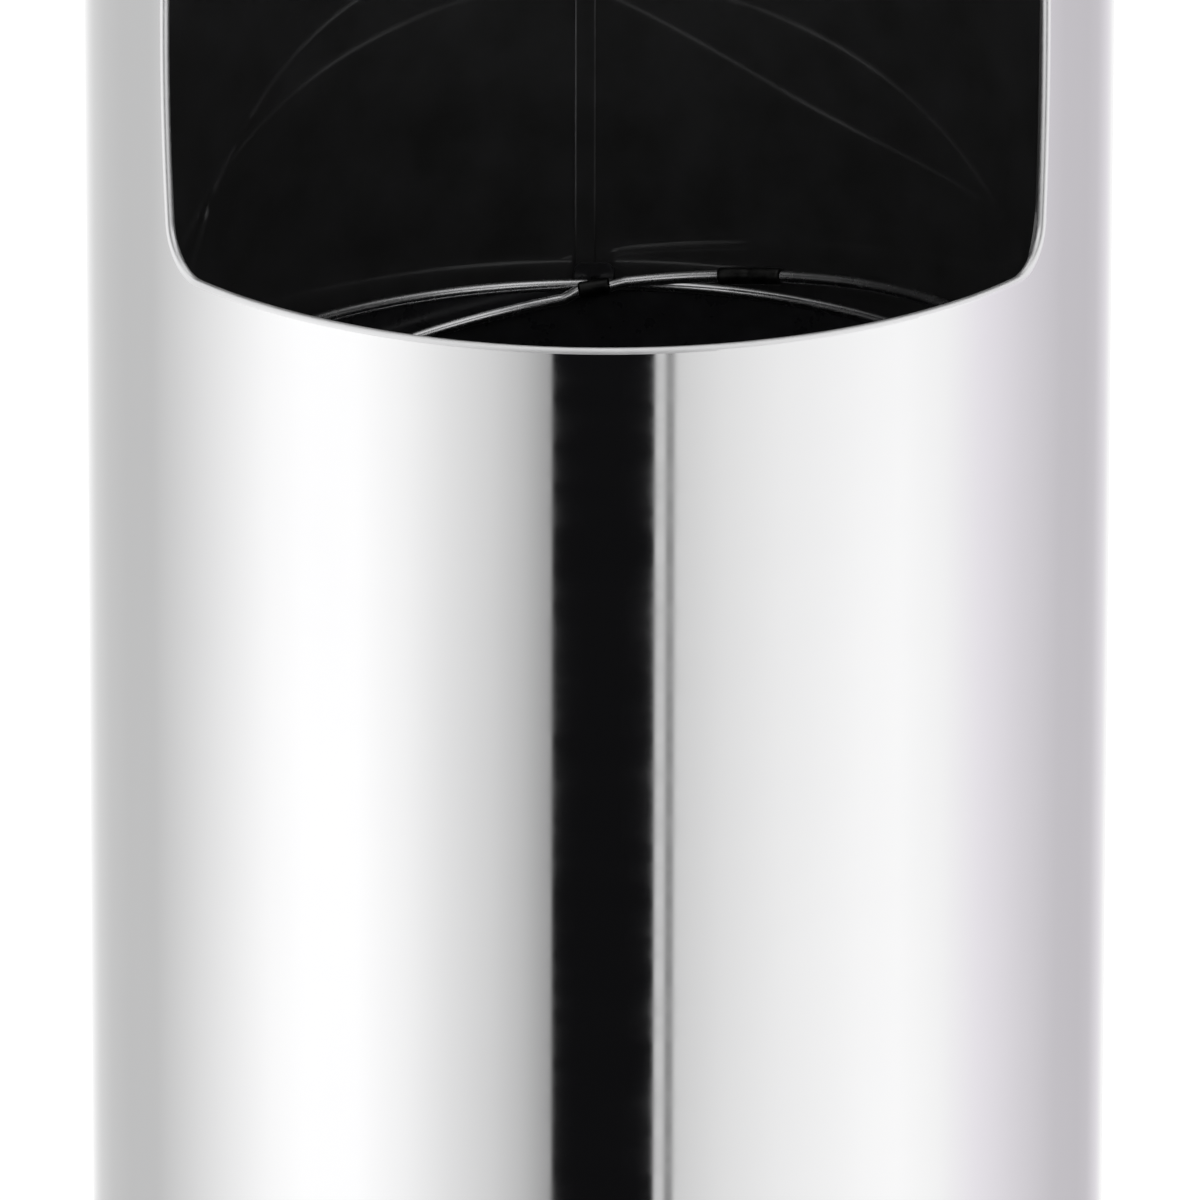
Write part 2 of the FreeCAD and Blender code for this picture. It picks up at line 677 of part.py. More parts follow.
def build_trunnion(name, facing):
    """Collar around the ring's wire with a pin that ends in a riveted-over head."""
    half = 0.5 * size("collar_length")
    along_x = FreeCAD.Rotation(FreeCAD.Vector(0, 0, 1), FreeCAD.Vector(1, 0, 0))
    outwards = FreeCAD.Rotation(FreeCAD.Vector(0, 0, 1), FreeCAD.Vector(0, facing, 0))
    at_wire = FreeCAD.Vector(-half, facing * size("ring_radius"), 0)
    collar = bound_cylinder(name + "_collar", "collar_radius", "collar_length",
                            FreeCAD.Placement(at_wire, along_x))
    bore = bound_cylinder(name + "_bore", "ring_wire + collar_clearance", "collar_length",
                          FreeCAD.Placement(at_wire, along_x))
    start = FreeCAD.Vector(0, facing * (size("ring_radius") + size("ring_wire")
                                        + size("collar_clearance")), 0)
    end = FreeCAD.Vector(0, facing * size("pin_head_start"), 0)
    pin = bound_cylinder(name + "_pin", "pin_radius",
                         "pin_head_start - ring_radius - ring_wire - collar_clearance",
                         FreeCAD.Placement(start, outwards))
    head = bound_cylinder(name + "_head", "pin_head_radius", "pin_head",
                          FreeCAD.Placement(end, outwards))
    body = doc.addObject("Part::MultiFuse", name + "_body")
    body.Shapes = [boolean("Cut", name + "_sleeve", collar, bore), pin, head]
    doc.recompute()
    return body


def build_ring_trunnions():
    """The two trunnions, behind and in front."""
    trunnions = group("ring_trunnions", [build_trunnion("trunnion_back", 1),
                                         build_trunnion("trunnion_front", -1)])
    trunnions.Placement = ring_placement()
    doc.recompute()
    return trunnions


# ---------------------------------------------------------------- the whole model
def build_nodes():
    """Every sub-part, in the order it would be put together."""
    window = window_cutter("window_space", "0")
    hem_window = window_cutter("hem_space", "hem_width")
    liner_window = window_cutter("liner_space", "liner_margin")
    stand = [
        build_outer_shell(window, hem_window), build_top_ring(), build_liner(liner_window),
        build_liner_seam_strip(), build_base_plate(), build_base_collar(),
        build_liner_foot_ring(), build_shell_rivets(), build_ballast_disc(),
        screw_set("ballast_screws", "shell_foot", "screw_head",
                  "(shell_foot + plate_sheet + ballast_thickness - screw_tip_cover)",
                  "ballast_screw_circle", 3),
        build_base_ring(),
        screw_set("base_ring_screws", "ring_well_top", "ring_screw_head",
                  "(shell_foot + plate_sheet + ring_screw_tip)", "base_screw_circle", 6)]
    bucket = [
        build_bucket_wall(), build_bucket_seam_strip(), build_bucket_floor(),
        build_bucket_rim(), build_tip_mat()]
    for side, azimuth in EAR_SIDES.items():
        bucket.append(build_ear("ear_" + side, azimuth))
        bucket.append(build_ear_rivets("ear_rivets_" + side, azimuth))
    return stand + bucket + [build_swing_ring(), build_ring_sleeve(), build_ring_trunnions()]


def check_and_export(nodes):
    """Writes one STEP file for each node once the whole document is sound."""
    doc.recompute()
    for thing in doc.Objects:
        if "Invalid" in thing.State or "Error" in thing.State:
            raise RuntimeError(f"{thing.Label} did not recompute: {thing.State}")
    os.makedirs("parts", exist_ok=True)
    for node in nodes:
        shape = node.Shape
        if shape.isNull() or not shape.isValid():
            raise RuntimeError(f"{node.Label} has no valid shape")
        shape.exportStep(f"parts/{node.Label}.step")
        box = shape.BoundBox
        print(f"{node.Label:20s} solids {len(shape.Solids)}  volume {shape.Volume:10.1f}  "
              f"z {box.ZMin:7.2f} to {box.ZMax:7.2f}  x {box.XMin:8.2f} to {box.XMax:8.2f}")


check_and_export(build_nodes())
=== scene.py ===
import json
import math

import bpy
from mathutils import Matrix, Vector


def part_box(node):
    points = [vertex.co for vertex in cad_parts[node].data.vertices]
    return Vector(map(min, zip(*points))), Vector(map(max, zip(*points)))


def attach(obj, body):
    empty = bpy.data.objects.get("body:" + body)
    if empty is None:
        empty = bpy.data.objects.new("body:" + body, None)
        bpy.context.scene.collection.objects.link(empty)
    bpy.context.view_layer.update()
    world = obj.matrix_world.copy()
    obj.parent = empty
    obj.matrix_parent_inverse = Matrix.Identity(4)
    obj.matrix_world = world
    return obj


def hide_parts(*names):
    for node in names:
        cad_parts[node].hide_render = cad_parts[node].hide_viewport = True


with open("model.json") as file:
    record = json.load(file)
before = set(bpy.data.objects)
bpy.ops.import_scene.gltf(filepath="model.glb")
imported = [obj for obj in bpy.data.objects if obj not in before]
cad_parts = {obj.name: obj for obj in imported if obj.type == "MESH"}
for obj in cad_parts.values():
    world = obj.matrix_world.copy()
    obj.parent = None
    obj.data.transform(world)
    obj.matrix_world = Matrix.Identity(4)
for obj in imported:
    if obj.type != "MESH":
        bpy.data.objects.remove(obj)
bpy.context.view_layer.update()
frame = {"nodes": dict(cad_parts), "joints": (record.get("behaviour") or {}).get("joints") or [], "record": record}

# ------------------------------------------------------------------ sizes, in metres
MM = 0.001
SHELL_LOW, SHELL_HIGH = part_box("outer_shell")
SHELL_RADIUS = SHELL_HIGH.x
SHELL_SHEET = 1.0 * MM
FIT_GAP = 0.05 * MM

WINDOW_BOTTOM = 334.3 * MM
WINDOW_TOP = 446 * MM
WINDOW_HALF_ANGLE = math.radians(57.36)
WINDOW_TURN = math.radians(1.46)
WINDOW_CORNER = 11 * MM
WINDOW_BULGE = (1.95 * MM, 1.4 * MM)   # how far the left and right sides bow outwards
WINDOW_SKEW = 0.55 * MM          # how far the outline sinks in a radian's turn to the right
HEM_DEPTH = 2.6 * MM
HEM_WIDTH = 5 * MM
HEM_ROUND = 1.25 * MM

LINER_LOW, LINER_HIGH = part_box("liner")
LINER_RADIUS = LINER_HIGH.x
LINER_SHEET = 0.8 * MM
LINER_MARGIN = 16 * MM           # how much larger the liner's window is all round
LINER_FACE = LINER_RADIUS - LINER_SHEET - FIT_GAP
STRIP_LOW, STRIP_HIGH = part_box("liner_seam_strip")
STRIP_SHEET = 0.7 * MM

RING_LOW, RING_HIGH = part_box("top_ring")
RING_WIDTH = 14 * MM
BASE_LOW, BASE_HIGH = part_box("base_ring")
BASE_RING_WIDTH = 19 * MM
PLATE_LOW, PLATE_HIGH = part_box("base_plate")
COLLAR_LOW, COLLAR_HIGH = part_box("base_collar")
COLLAR_SHEET = 1.2 * MM
FOOT_RING_LOW, FOOT_RING_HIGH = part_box("liner_foot_ring")
FOOT_RING_WIDTH = 3 * MM

WALL_LOW, WALL_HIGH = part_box("bucket_wall")
RIM_LOW, RIM_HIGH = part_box("bucket_rim")
BUCKET_SHEET = 0.8 * MM
BUCKET_FOOT_RADIUS = 102 * MM
BUCKET_TOP_RADIUS = 107.1 * MM
BUCKET_TURN = math.radians(0.65)
RIM_RADIUS = 106.9 * MM
RIM_HEIGHT = 0.5 * (RIM_LOW.z + RIM_HIGH.z)
RIM_WIRE = 0.5 * (RIM_HIGH.z - RIM_LOW.z)
RIM_GAP = 3.4 * MM               # opening in the rim at each of the swing ring's pins
PAN_LOW, PAN_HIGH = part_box("bucket_floor")
_, MAT_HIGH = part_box("tip_mat")
MAT_RIB_RADII = (10, 18, 26, 50, 56, 62, 84, 89, 94)       # mm, clear of the drip holes

EAR_LOW, EAR_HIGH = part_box("ear_back")
EAR_SHEET = 1.5 * MM
EAR_HALF_ANGLE = math.radians(11)
EAR_TAB_HALF_ANGLE = math.radians(2.7)
EAR_SHOULDER = 254 * MM
EAR_ROUND = 2.5 * MM
EAR_JOGGLE = 1.8 * MM
EAR_JOGGLE_FOOT, EAR_JOGGLE_TOP = 257 * MM, 260.5 * MM
EAR_RIVET_HEIGHT = 245.5 * MM
EAR_RIVET_TURN = math.radians(6)
RIVET_HEAD_RADIUS = 3.4 * MM
RIVET_HEAD = 1.1 * MM

SWING_RADIUS = 102.7 * MM
SWING_WIRE = 1.5 * MM
SWING_TILT = math.radians(9.6)
SWING_JOINT = next(joint for joint in frame["joints"] if joint["name"] == "ring_swing")
SWING_PLACE = (Matrix.Translation(Vector(SWING_JOINT["pos_m"]))
               @ Matrix.Rotation(BUCKET_TURN, 4, "Z") @ Matrix.Rotation(-SWING_TILT, 4, "Y"))
PIVOT_LENGTH = 8 * MM
PIVOT_RADIUS = 2.1 * MM
PIN_RADIUS = 0.9 * MM
PIN_HEAD_START = 110.9 * MM
PIN_HEAD = 0.9 * MM
PIN_HEAD_RADIUS = 1.7 * MM
WIRE_SINK = 0.2 * MM             # how far the wire lies below the pins' line at the collars
WIRE_STEP_RUN = 4 * MM           # length of the bend on either side of a collar
WIRE_STEP_LEFT = 1.4 * MM        # how far it drops to the left, and rises to the right
WIRE_STEP_RIGHT = 0.6 * MM
WIRE_FALL = 0.029                # slope of the right half beyond its bend
SLEEVE_RADIUS = 2.2 * MM
SLEEVE_LENGTH = 17 * MM
SLEEVE_ANGLE = math.radians(157.5)   # from -Y towards +X in the ring's plane


# ------------------------------------------------------------------ mesh helpers
def around(angle, radius, height):
    """A point at an angle from -Y, positive towards +X."""
    return (radius * math.sin(angle), -radius * math.cos(angle), height)


def spread(start, end, steps):
    """Evenly spaced values from start to end."""
    return [start + (end - start) * i / steps for i in range(steps + 1)]


def arc(centre, radius, start, end, steps):
    """Points of an arc in the (radius, height) plane, angles in degrees."""
    return [(centre[0] + radius * math.cos(math.radians(angle)),
             centre[1] + radius * math.sin(math.radians(angle)))
            for angle in spread(start, end, steps)]


def rounded(corners, steps=5):
    """An outline whose corners (radius, height, rounding) are eased by arcs."""
    points = []
    for i, (x, y, ease) in enumerate(corners):
        here = Vector((x, y))
        before = Vector(corners[i - 1][:2]) - here
        after = Vector(corners[(i + 1) % len(corners)][:2]) - here
        if ease == 0:
            points.append((x, y))
            continue
        first = here + ease * before.normalized()
        last = here + ease * after.normalized()
        for t in spread(0, 1, steps):
            point = (1 - t) ** 2 * first + 2 * t * (1 - t) * here + t ** 2 * last
            points.append((point.x, point.y))
    return points


def add_piece(name, shape, body, slot, *replaced, material=None):
    """A smooth-shaded mesh that rides on a body and stands for CAD nodes."""
    verts, faces = shape
    mesh = bpy.data.meshes.new(name)
    mesh.from_pydata(verts, [], faces)
    mesh.validate()
    mesh.polygons.foreach_set("use_smooth", [True] * len(mesh.polygons))
    mesh.set_sharp_from_angle(angle=math.radians(40))
    mesh.materials.append(material or MATERIALS[slot])
    piece = bpy.data.objects.new(name, mesh)
    bpy.context.scene.collection.objects.link(piece)
    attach(piece, body)
    if replaced:
        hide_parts(*replaced)
    return piece


def merged(shapes):
    """Several shapes as one."""
    verts, faces = [], []
    for more_verts, more_faces in shapes:
        base = len(verts)
        verts += more_verts
        faces += [tuple(base + k for k in face) for face in more_faces]
    return verts, faces


def placed(shape, matrix):
    verts, faces = shape
    return [matrix @ Vector(v) for v in verts], faces


def lathe(profile, segments=256):
    """Turns a closed outline of (radius, height) pairs about the Z axis."""
    count = len(profile)
    verts = [around(2 * math.pi * i / segments, radius, height)
             for i in range(segments) for radius, height in profile]
    faces = []
    for i in range(segments):
        here, there = i * count, ((i + 1) % segments) * count
        for j in range(count):
            k = (j + 1) % count
            faces.append((here + j, there + j, there + k, here + k))
    return verts, faces


def spindle(profile, segments=48):
    """Turns an outline that starts and ends on the Z axis about that axis."""
    rings = profile[1:-1]
    count = len(rings)
    verts = [around(2 * math.pi * i / segments, radius, height)
             for i in range(segments) for radius, height in rings]
    low, high = len(verts), len(verts) + 1
    verts += [(0, 0, profile[0][1]), (0, 0, profile[-1][1])]
    faces = []
    for i in range(segments):
        here, there = i * count, ((i + 1) % segments) * count
        for j in range(count - 1):
            faces.append((here + j, there + j, there + j + 1, here + j + 1))
        faces.append((low, there, here))
        faces.append((high, here + count - 1, there + count - 1))
    return verts, faces


def tube_along(points, radii, sides=24, closed=False):
    """A round tube that follows points, with a radius at each."""
    verts, faces = [], []
    last = len(points) - 1
    for i, (point, radius) in enumerate(zip(points, radii)):
        before = points[i - 1] if i > 0 or closed else point
        after = points[(i + 1) % len(points)] if i < last or closed else point
        tangent = (Vector(after) - Vector(before)).normalized()
        across = tangent.cross(Vector((0, 0, 1))).normalized()
        up = across.cross(tangent)
        for k in range(sides):
            angle = 2 * math.pi * k / sides
            verts.append(Vector(point) + radius * (math.cos(angle) * across
                                                   + math.sin(angle) * up))
    for i in range(len(points) if closed else last):
        here, there = i * sides, ((i + 1) % len(points)) * sides
        for k in range(sides):
            n = (k + 1) % sides
            faces.append((here + k, here + n, there + n, there + k))
    if not closed:
        faces.append(tuple(reversed(range(sides))))
        faces.append(tuple(last * sides + k for k in range(sides)))
    return verts, faces


def curved_slab(middle, rows, soft, columns=16):
    """A plate bent around the stand's axis; rows are (height, half width, inner, outer)."""
    verts, faces = [], []
    for height, half_width, inner, outer in rows:
        half = half_width / outer
        ease = soft / outer
        steps = spread(ease - half, half - ease, columns)
        section = [(a, outer) for a in steps]
        section += [(half, outer - soft), (half, inner + soft)]
        section += [(a, inner) for a in reversed(steps)]
        section += [(-half, inner + soft), (-half, outer - soft)]
        verts += [around(middle + a, radius, height) for a, radius in section]
    count = 2 * (columns + 1) + 4
    for i in range(len(rows) - 1):
        here, there = i * count, (i + 1) * count
        for j in range(count):
            k = (j + 1) % count
            faces.append((here + j, here + k, there + k, there + j))
    faces.append(tuple(reversed(range(count))))
    faces.append(tuple((len(rows) - 1) * count + j for j in range(count)))
    return verts, faces


class WindowedWall:
    """A round wall with the stand's rounded side window.

    Columns and rows make a grid with a rectangle left out around the window. A column is an
    angle from the window's middle or, beside the window, a sideways distance from the middle
    of a rounded corner. Rings of the same points fill the rectangle up to the window's edge,
    and the section says how far each ring is from the edge and how deep below the surface.
    """

    def __init__(self, outer, inner, foot, top, section):
        self.outer, self.inner, self.foot, self.top = outer, inner, foot, top
        self.section = section
        margin = 10 * MM + max(offset for offset, _ in section)
        self.knuckle = WINDOW_HALF_ANGLE - math.asin(WINDOW_CORNER / SHELL_RADIUS)
        self.reach = WINDOW_CORNER + margin
        self.low_centre = WINDOW_BOTTOM + WINDOW_CORNER
        self.high_centre = WINDOW_TOP - WINDOW_CORNER
        self.verts, self.faces = [], []

    def corner_steps(self, steps=12):
        """Distances along one side of a square, at even angles seen from its corner's centre."""
        return [self.reach * math.tan(math.radians(45) * i / steps) for i in range(1, steps + 1)]

    def columns(self):
        middle = [("angle", a) for a in spread(-self.knuckle, self.knuckle, 72)]
        side = self.corner_steps()
        right = [("side", w) for w in side]
        left = [("side", -w) for w in reversed(side)]
        edge = self.knuckle + math.asin(self.reach / self.outer)
        back = [("angle", a) for a in spread(edge, 2 * math.pi - edge, 168)[1:-1]]
        return left + middle + right + back, len(left) + len(middle) + len(right)

    def rows(self):
        rise = self.corner_steps()
        below = spread(self.foot, self.low_centre - self.reach, 24)
        low_corner = [self.low_centre - w for w in reversed(rise)][1:] + [self.low_centre]
        straight = spread(self.low_centre, self.high_centre, 20)[1:]
        high_corner = [self.high_centre + w for w in rise][:-1]
        above = spread(self.high_centre + self.reach, self.top, 12)
        heights = below + low_corner + straight + high_corner + above
        return heights, len(below) - 1, len(heights) - len(above)

    def angle(self, column, radius):
        kind, value = column
        if kind == "angle":
            return WINDOW_TURN + value
        turn = self.knuckle + math.asin(abs(value) / radius)
        return WINDOW_TURN + math.copysign(turn, value)

    def add_grid(self, radius):
        """One face of the wall without the rectangle; gives the index of each grid point."""
        columns, window_columns = self.columns()
        heights, first, last = self.rows()
        index = {}
        for i, column in enumerate(columns):
            for j, height in enumerate(heights):
                if 0 < i < window_columns - 1 and first < j < last:
                    continue
                index[i, j] = len(self.verts)
                self.verts.append(around(self.angle(column, radius), radius, height))
        cells = []
        for i in range(len(columns)):
            k = (i + 1) % len(columns)
            for j in range(len(heights) - 1):
                if i < window_columns - 1 and first <= j < last:
                    continue
                cells.append((index[i, j], index[k, j], index[k, j + 1], index[i, j + 1]))
        border = [(i, first) for i in range(window_columns)]
        border += [(window_columns - 1, j) for j in range(first + 1, last + 1)]
        border += [(i, last) for i in range(window_columns - 2, -1, -1)]
        border += [(0, j) for j in range(last - 1, first, -1)]
        places = [(columns[i], heights[j]) for i, j in border]
        loop = [index[key] for key in border]
        ends = [[index[i, j] for i in range(len(columns))] for j in (0, len(heights) - 1)]
        return cells, places, loop, ends

    def bulge(self, height, across):
        """How far the window's side is bowed outwards at a height."""
        middle = 0.5 * (self.low_centre + self.high_centre)
        half = self.high_centre - middle
        left, right = WINDOW_BULGE
        return (right if across > 0 else left) * (1 - ((height - middle) / half) ** 2)

    def edge_point(self, place, offset, radius):
        """The point of the window's outline, grown by an offset, that faces a border point."""
        (kind, value), height = place
        low_side = height < 0.5 * (self.low_centre + self.high_centre)
        if kind == "angle":
            z = WINDOW_BOTTOM - offset if low_side else WINDOW_TOP + offset
            angle = WINDOW_TURN + value
            return around(angle, radius, z - WINDOW_SKEW * angle)
        if self.low_centre <= height <= self.high_centre:
            across, rise, centre = 1.0, 0.0, height
        else:
            centre = self.low_centre if low_side else self.high_centre
            length = math.hypot(value, height - centre)
            across, rise = abs(value) / length, (height - centre) / length
        z = centre + rise * (WINDOW_CORNER + offset)
        bow = self.bulge(centre + rise * WINDOW_CORNER, value)
        distance = across * (WINDOW_CORNER + offset + bow)
        angle = self.angle(("side", math.copysign(distance, value)), radius)
        return around(angle, radius, z - WINDOW_SKEW * angle)

    def build(self):
        outside, places, first_loop, outer_ends = self.add_grid(self.outer)
        self.faces += outside
        inside, _, last_loop, inner_ends = self.add_grid(self.inner)
        self.faces += [tuple(reversed(cell)) for cell in inside]
        loops = [first_loop]
        for offset, depth in self.section:
            start = len(self.verts)
            self.verts += [self.edge_point(place, offset, self.outer - depth)
                           for place in places]
            loops.append(list(range(start, start + len(places))))
        loops.append(last_loop)
        for here, there in zip(loops, loops[1:]):
            for i in range(len(here)):
                k = (i + 1) % len(here)
                self.faces.append((here[i], here[k], there[k], there[i]))
        for side, (outer, inner) in enumerate(zip(outer_ends, inner_ends)):
            for i in range(len(outer)):
                k = (i + 1) % len(outer)
                face = (outer[i], inner[i], inner[k], outer[k])
                self.faces.append(tuple(reversed(face)) if side else face)
        return self.verts, self.faces

    def set_round_normals(self, piece):
        """Exact normals on the round faces, whose columns are of uneven width."""
        mesh = piece.data
        normals = [(0.0, 0.0, 0.0)] * len(mesh.loops)
        for face in mesh.polygons:
            radii = [math.hypot(*mesh.vertices[v].co.xy) for v in face.vertices]
            for radius, facing in ((self.outer, 1.0), (self.inner, -1.0)):
                if max(abs(r - radius) for r in radii) > 0.001 * MM:
                    continue
                for loop in face.loop_indices:
                    x, y, _ = mesh.vertices[mesh.loops[loop].vertex_index].co
                    normals[loop] = (facing * x / radius, facing * y / radius, 0.0)
        mesh.normals_split_custom_set(normals)


# ------------------------------------------------------------------ material helpers
def new_material(name, colour, metallic, roughness):
    material = bpy.data.materials.new(name)
    material.use_nodes = True
    shader = material.node_tree.nodes["Principled BSDF"]
    shader.inputs["Base Color"].default_value = (*colour, 1)
    shader.inputs["Metallic"].default_value = metallic
    shader.inputs["Roughness"].default_value = roughness
    return material, material.node_tree, shader


def add_node(tree, kind, **settings):
    node = tree.nodes.new(kind)
    for key, value in settings.items():
        setattr(node, key, value)
    return node


def set_inputs(node, **values):
    for key, value in values.items():
        node.inputs[key.replace("_", " ")].default_value = value


def object_point(tree, scale=(1, 1, 1)):
    """Object coordinates, stretched by a scale."""
    source = add_node(tree, "ShaderNodeTexCoord")
    mapping = add_node(tree, "ShaderNodeMapping")
    mapping.inputs["Scale"].default_value = scale
    tree.links.new(source.outputs["Object"], mapping.inputs["Vector"])
    return mapping.outputs["Vector"]


def math_node(tree, operation, *inputs):
    node = add_node(tree, "ShaderNodeMath", operation=operation)
    for i, value in enumerate(inputs):
        if isinstance(value, (int, float)):
            node.inputs[i].default_value = value
        else:
            tree.links.new(value, node.inputs[i])
    return node.outputs[0]


def soft_ramp(tree, value, from_min, from_max, to_max=1.0):
    """Rises smoothly from 0 to a value over a range."""
    ramp = add_node(tree, "ShaderNodeMapRange", interpolation_type="SMOOTHSTEP")
    for name, number in (("From Min", from_min), ("From Max", from_max), ("To Max", to_max)):
        ramp.inputs[name].default_value = number
    tree.links.new(value, ramp.inputs["Value"])
    return ramp.outputs["Result"]


def band(tree, value, start, end, width):
    """1 between two edges and 0 outside them."""
    rising = soft_ramp(tree, value, start - width, start + width)
    falling = soft_ramp(tree, value, end - width, end + width)
    return math_node(tree, "SUBTRACT", rising, falling)


def mix_by(tree, factor, first, second):
    """Mixes two colours, each a socket or a value, by a socket."""
    mix = add_node(tree, "ShaderNodeMix", data_type="RGBA")
    tree.links.new(factor, mix.inputs["Factor"])
    for name, colour in (("A", first), ("B", second)):
        if isinstance(colour, tuple):
            mix.inputs[name].default_value = colour
        else:
            tree.links.new(colour, mix.inputs[name])
    return mix.outputs["Result"]


def noise(tree, point, scale, detail=3.0, rough=0.5):
    texture = add_node(tree, "ShaderNodeTexNoise")
    set_inputs(texture, Scale=scale, Detail=detail, Roughness=rough)
    tree.links.new(point, texture.inputs["Vector"])
    return texture.outputs["Fac"]


def spread_values(tree, factor, low, high, start=0.3, end=0.7):
    """Maps a noise onto a range of values."""
    ranges = add_node(tree, "ShaderNodeMapRange")
    for name, value in (("From Min", start), ("From Max", end),
                        ("To Min", low), ("To Max", high)):
        ranges.inputs[name].default_value = value
    tree.links.new(factor, ranges.inputs["Value"])
    return ranges.outputs["Result"]


def mix_colours(tree, factor, first, second, start=0.3, end=0.7):
    """Blends two colours by a noise."""
    ramp = add_node(tree, "ShaderNodeValToRGB")
    stops = ramp.color_ramp.elements
    stops[0].position, stops[0].color = start, (*first, 1)
    stops[1].position, stops[1].color = end, (*second, 1)
    tree.links.new(factor, ramp.inputs["Fac"])
    return ramp.outputs["Color"]


def add_bump(tree, shader, height, strength, distance, below=None):
    bump = add_node(tree, "ShaderNodeBump")
    bump.inputs["Strength"].default_value = strength
    bump.inputs["Distance"].default_value = distance
    tree.links.new(height, bump.inputs["Height"])
    if below is not None:
        tree.links.new(below, bump.inputs["Normal"])
    tree.links.new(bump.outputs["Normal"], shader.inputs["Normal"])
    return bump.outputs["Normal"]


def polished_steel():
    """Mirror polish: faint cloudiness, hairlines around the tube and a slow sheet waviness."""
    material, tree, shader = new_material("polished_steel", (0.9, 0.9, 0.905), 1.0, 0.06)
    clouds = noise(tree, object_point(tree, (1, 1, 0.35)), 14, 4)
    tree.links.new(mix_colours(tree, clouds, (0.885, 0.885, 0.892), (0.915, 0.915, 0.918)),
                   shader.inputs["Base Color"])
    smears = noise(tree, object_point(tree, (1, 1, 3.0)), 35, 5, 0.6)
    tree.links.new(spread_values(tree, smears, 0.045, 0.085), shader.inputs["Roughness"])
    waves = noise(tree, object_point(tree, (1, 1, 0.25)), 9, 1)
    add_bump(tree, shader, waves, 0.12, 0.4 * MM)
    return material


def folded_edge():
    """The same steel where it is folded: duller, with fine marks across the fold."""
    material, tree, shader = new_material("folded_edge", (0.9, 0.9, 0.905), 1.0, 0.25)
    marks = noise(tree, object_point(tree, (1, 1, 3.0)), 160, 4, 0.6)
    tree.links.new(mix_colours(tree, marks, (0.87, 0.87, 0.877), (0.92, 0.92, 0.923)),
                   shader.inputs["Base Color"])
    tree.links.new(spread_values(tree, marks, 0.4, 0.5), shader.inputs["Roughness"])
    return material


def lacquer(name, shade):
    """Gloss coat over satin black: crisp reflections with a soft sheen beneath them."""
    material, tree, shader = new_material(name, (shade, shade, shade), 0.0, 0.35)
    shader.inputs["Coat Weight"].default_value = 1.0
    shader.inputs["Coat Roughness"].default_value = 0.03
    dust = noise(tree, object_point(tree), 60, 5, 0.6)
    pale = 1.5 * shade
    colour = mix_colours(tree, dust, (shade, shade, shade), (pale, pale, 1.04 * pale))
    tree.links.new(colour, shader.inputs["Base Color"])
    tree.links.new(spread_values(tree, dust, 0.28, 0.42), shader.inputs["Roughness"])
    streaks = noise(tree, object_point(tree, (1, 1, 0.06)), 34, 1)
    add_bump(tree, shader, streaks, 0.3, 0.8 * MM)
    return material, tree, shader, colour


LACQUER_SHADE = 0.03
HIGHLIGHT_FROM, HIGHLIGHT_TO = 0.272, 0.295    # height over which the painted highlight on the seam's edges fades in, lighter above as if lit from the open top


def black_lacquer():
    return lacquer("black_lacquer", LACQUER_SHADE)[0]


def seam_painted_highlight():
    """The liner's lapped seam with a painted highlight: pale grey along its long edges, broken by chips and fading
    out lower down as if lit from above.
    """
    material, tree, shader, colour = lacquer("black_lacquer_seam_painted_highlight", LACQUER_SHADE)
    parts = add_node(tree, "ShaderNodeSeparateXYZ")
    tree.links.new(object_point(tree), parts.inputs["Vector"])
    chips = spread_values(tree, noise(tree, object_point(tree, (1, 1, 0.3)), 160, 4, 0.7),
                          0.25, 1.0)
    edge_highlight = None
    # painted highlight: pale grey along both long edges, stronger on the left one
    for edge, share in ((STRIP_LOW.x, 0.9), (STRIP_HIGH.x, 0.45)):
        distance = math_node(tree, "ABSOLUTE", math_node(tree, "SUBTRACT", parts.outputs["X"],
                                                         edge))
        near = math_node(tree, "SUBTRACT", share,
                         soft_ramp(tree, distance, 0.2 * MM, 0.55 * MM, share))
        edge_highlight = near if edge_highlight is None else math_node(tree, "MAXIMUM", edge_highlight, near)
    # the painted highlight fades out towards the bottom, as if lit from the tube's open top
    rising = soft_ramp(tree, parts.outputs["Z"], HIGHLIGHT_FROM, HIGHLIGHT_TO)
    painted_highlight = math_node(tree, "MULTIPLY", math_node(tree, "MULTIPLY", edge_highlight, chips), rising)
    tree.links.new(mix_by(tree, painted_highlight, colour, (0.42, 0.42, 0.43, 1)),
                   shader.inputs["Base Color"])
    return material


def bucket_enamel():
    """Satin black enamel with fine specks."""
    material, tree, shader = new_material("bucket_enamel", (0.008, 0.008, 0.009), 0.0, 0.3)
    specks = noise(tree, object_point(tree), 150, 4, 0.6)
    tree.links.new(mix_colours(tree, specks, (0.018, 0.018, 0.02), (0.03, 0.03, 0.033)),
                   shader.inputs["Base Color"])
    tree.links.new(spread_values(tree, specks, 0.24, 0.38), shader.inputs["Roughness"])
    add_bump(tree, shader, noise(tree, object_point(tree), 500, 2), 0.08, 0.1 * MM)
    return material


def bright_wire():
    """Plated wire with short draw marks."""
    material, tree, shader = new_material("bright_wire", (0.82, 0.82, 0.83), 1.0, 0.33)
    marks = noise(tree, object_point(tree), 260, 4, 0.6)
    tree.links.new(mix_colours(tree, marks, (0.74, 0.74, 0.75), (0.88, 0.88, 0.89)),
                   shader.inputs["Base Color"])
    tree.links.new(spread_values(tree, marks, 0.22, 0.3), shader.inputs["Roughness"])
    add_bump(tree, shader, marks, 0.05, 0.1 * MM)
    return material


def blackened_steel():
    material, tree, shader = new_material("ear_steel", (0.03, 0.03, 0.03), 1.0, 0.4)
    marks = noise(tree, object_point(tree), 300, 4, 0.6)
    tree.links.new(mix_colours(tree, marks, (0.02, 0.02, 0.02), (0.06, 0.06, 0.058)),
                   shader.inputs["Base Color"])
    tree.links.new(spread_values(tree, marks, 0.32, 0.5), shader.inputs["Roughness"])
    return material


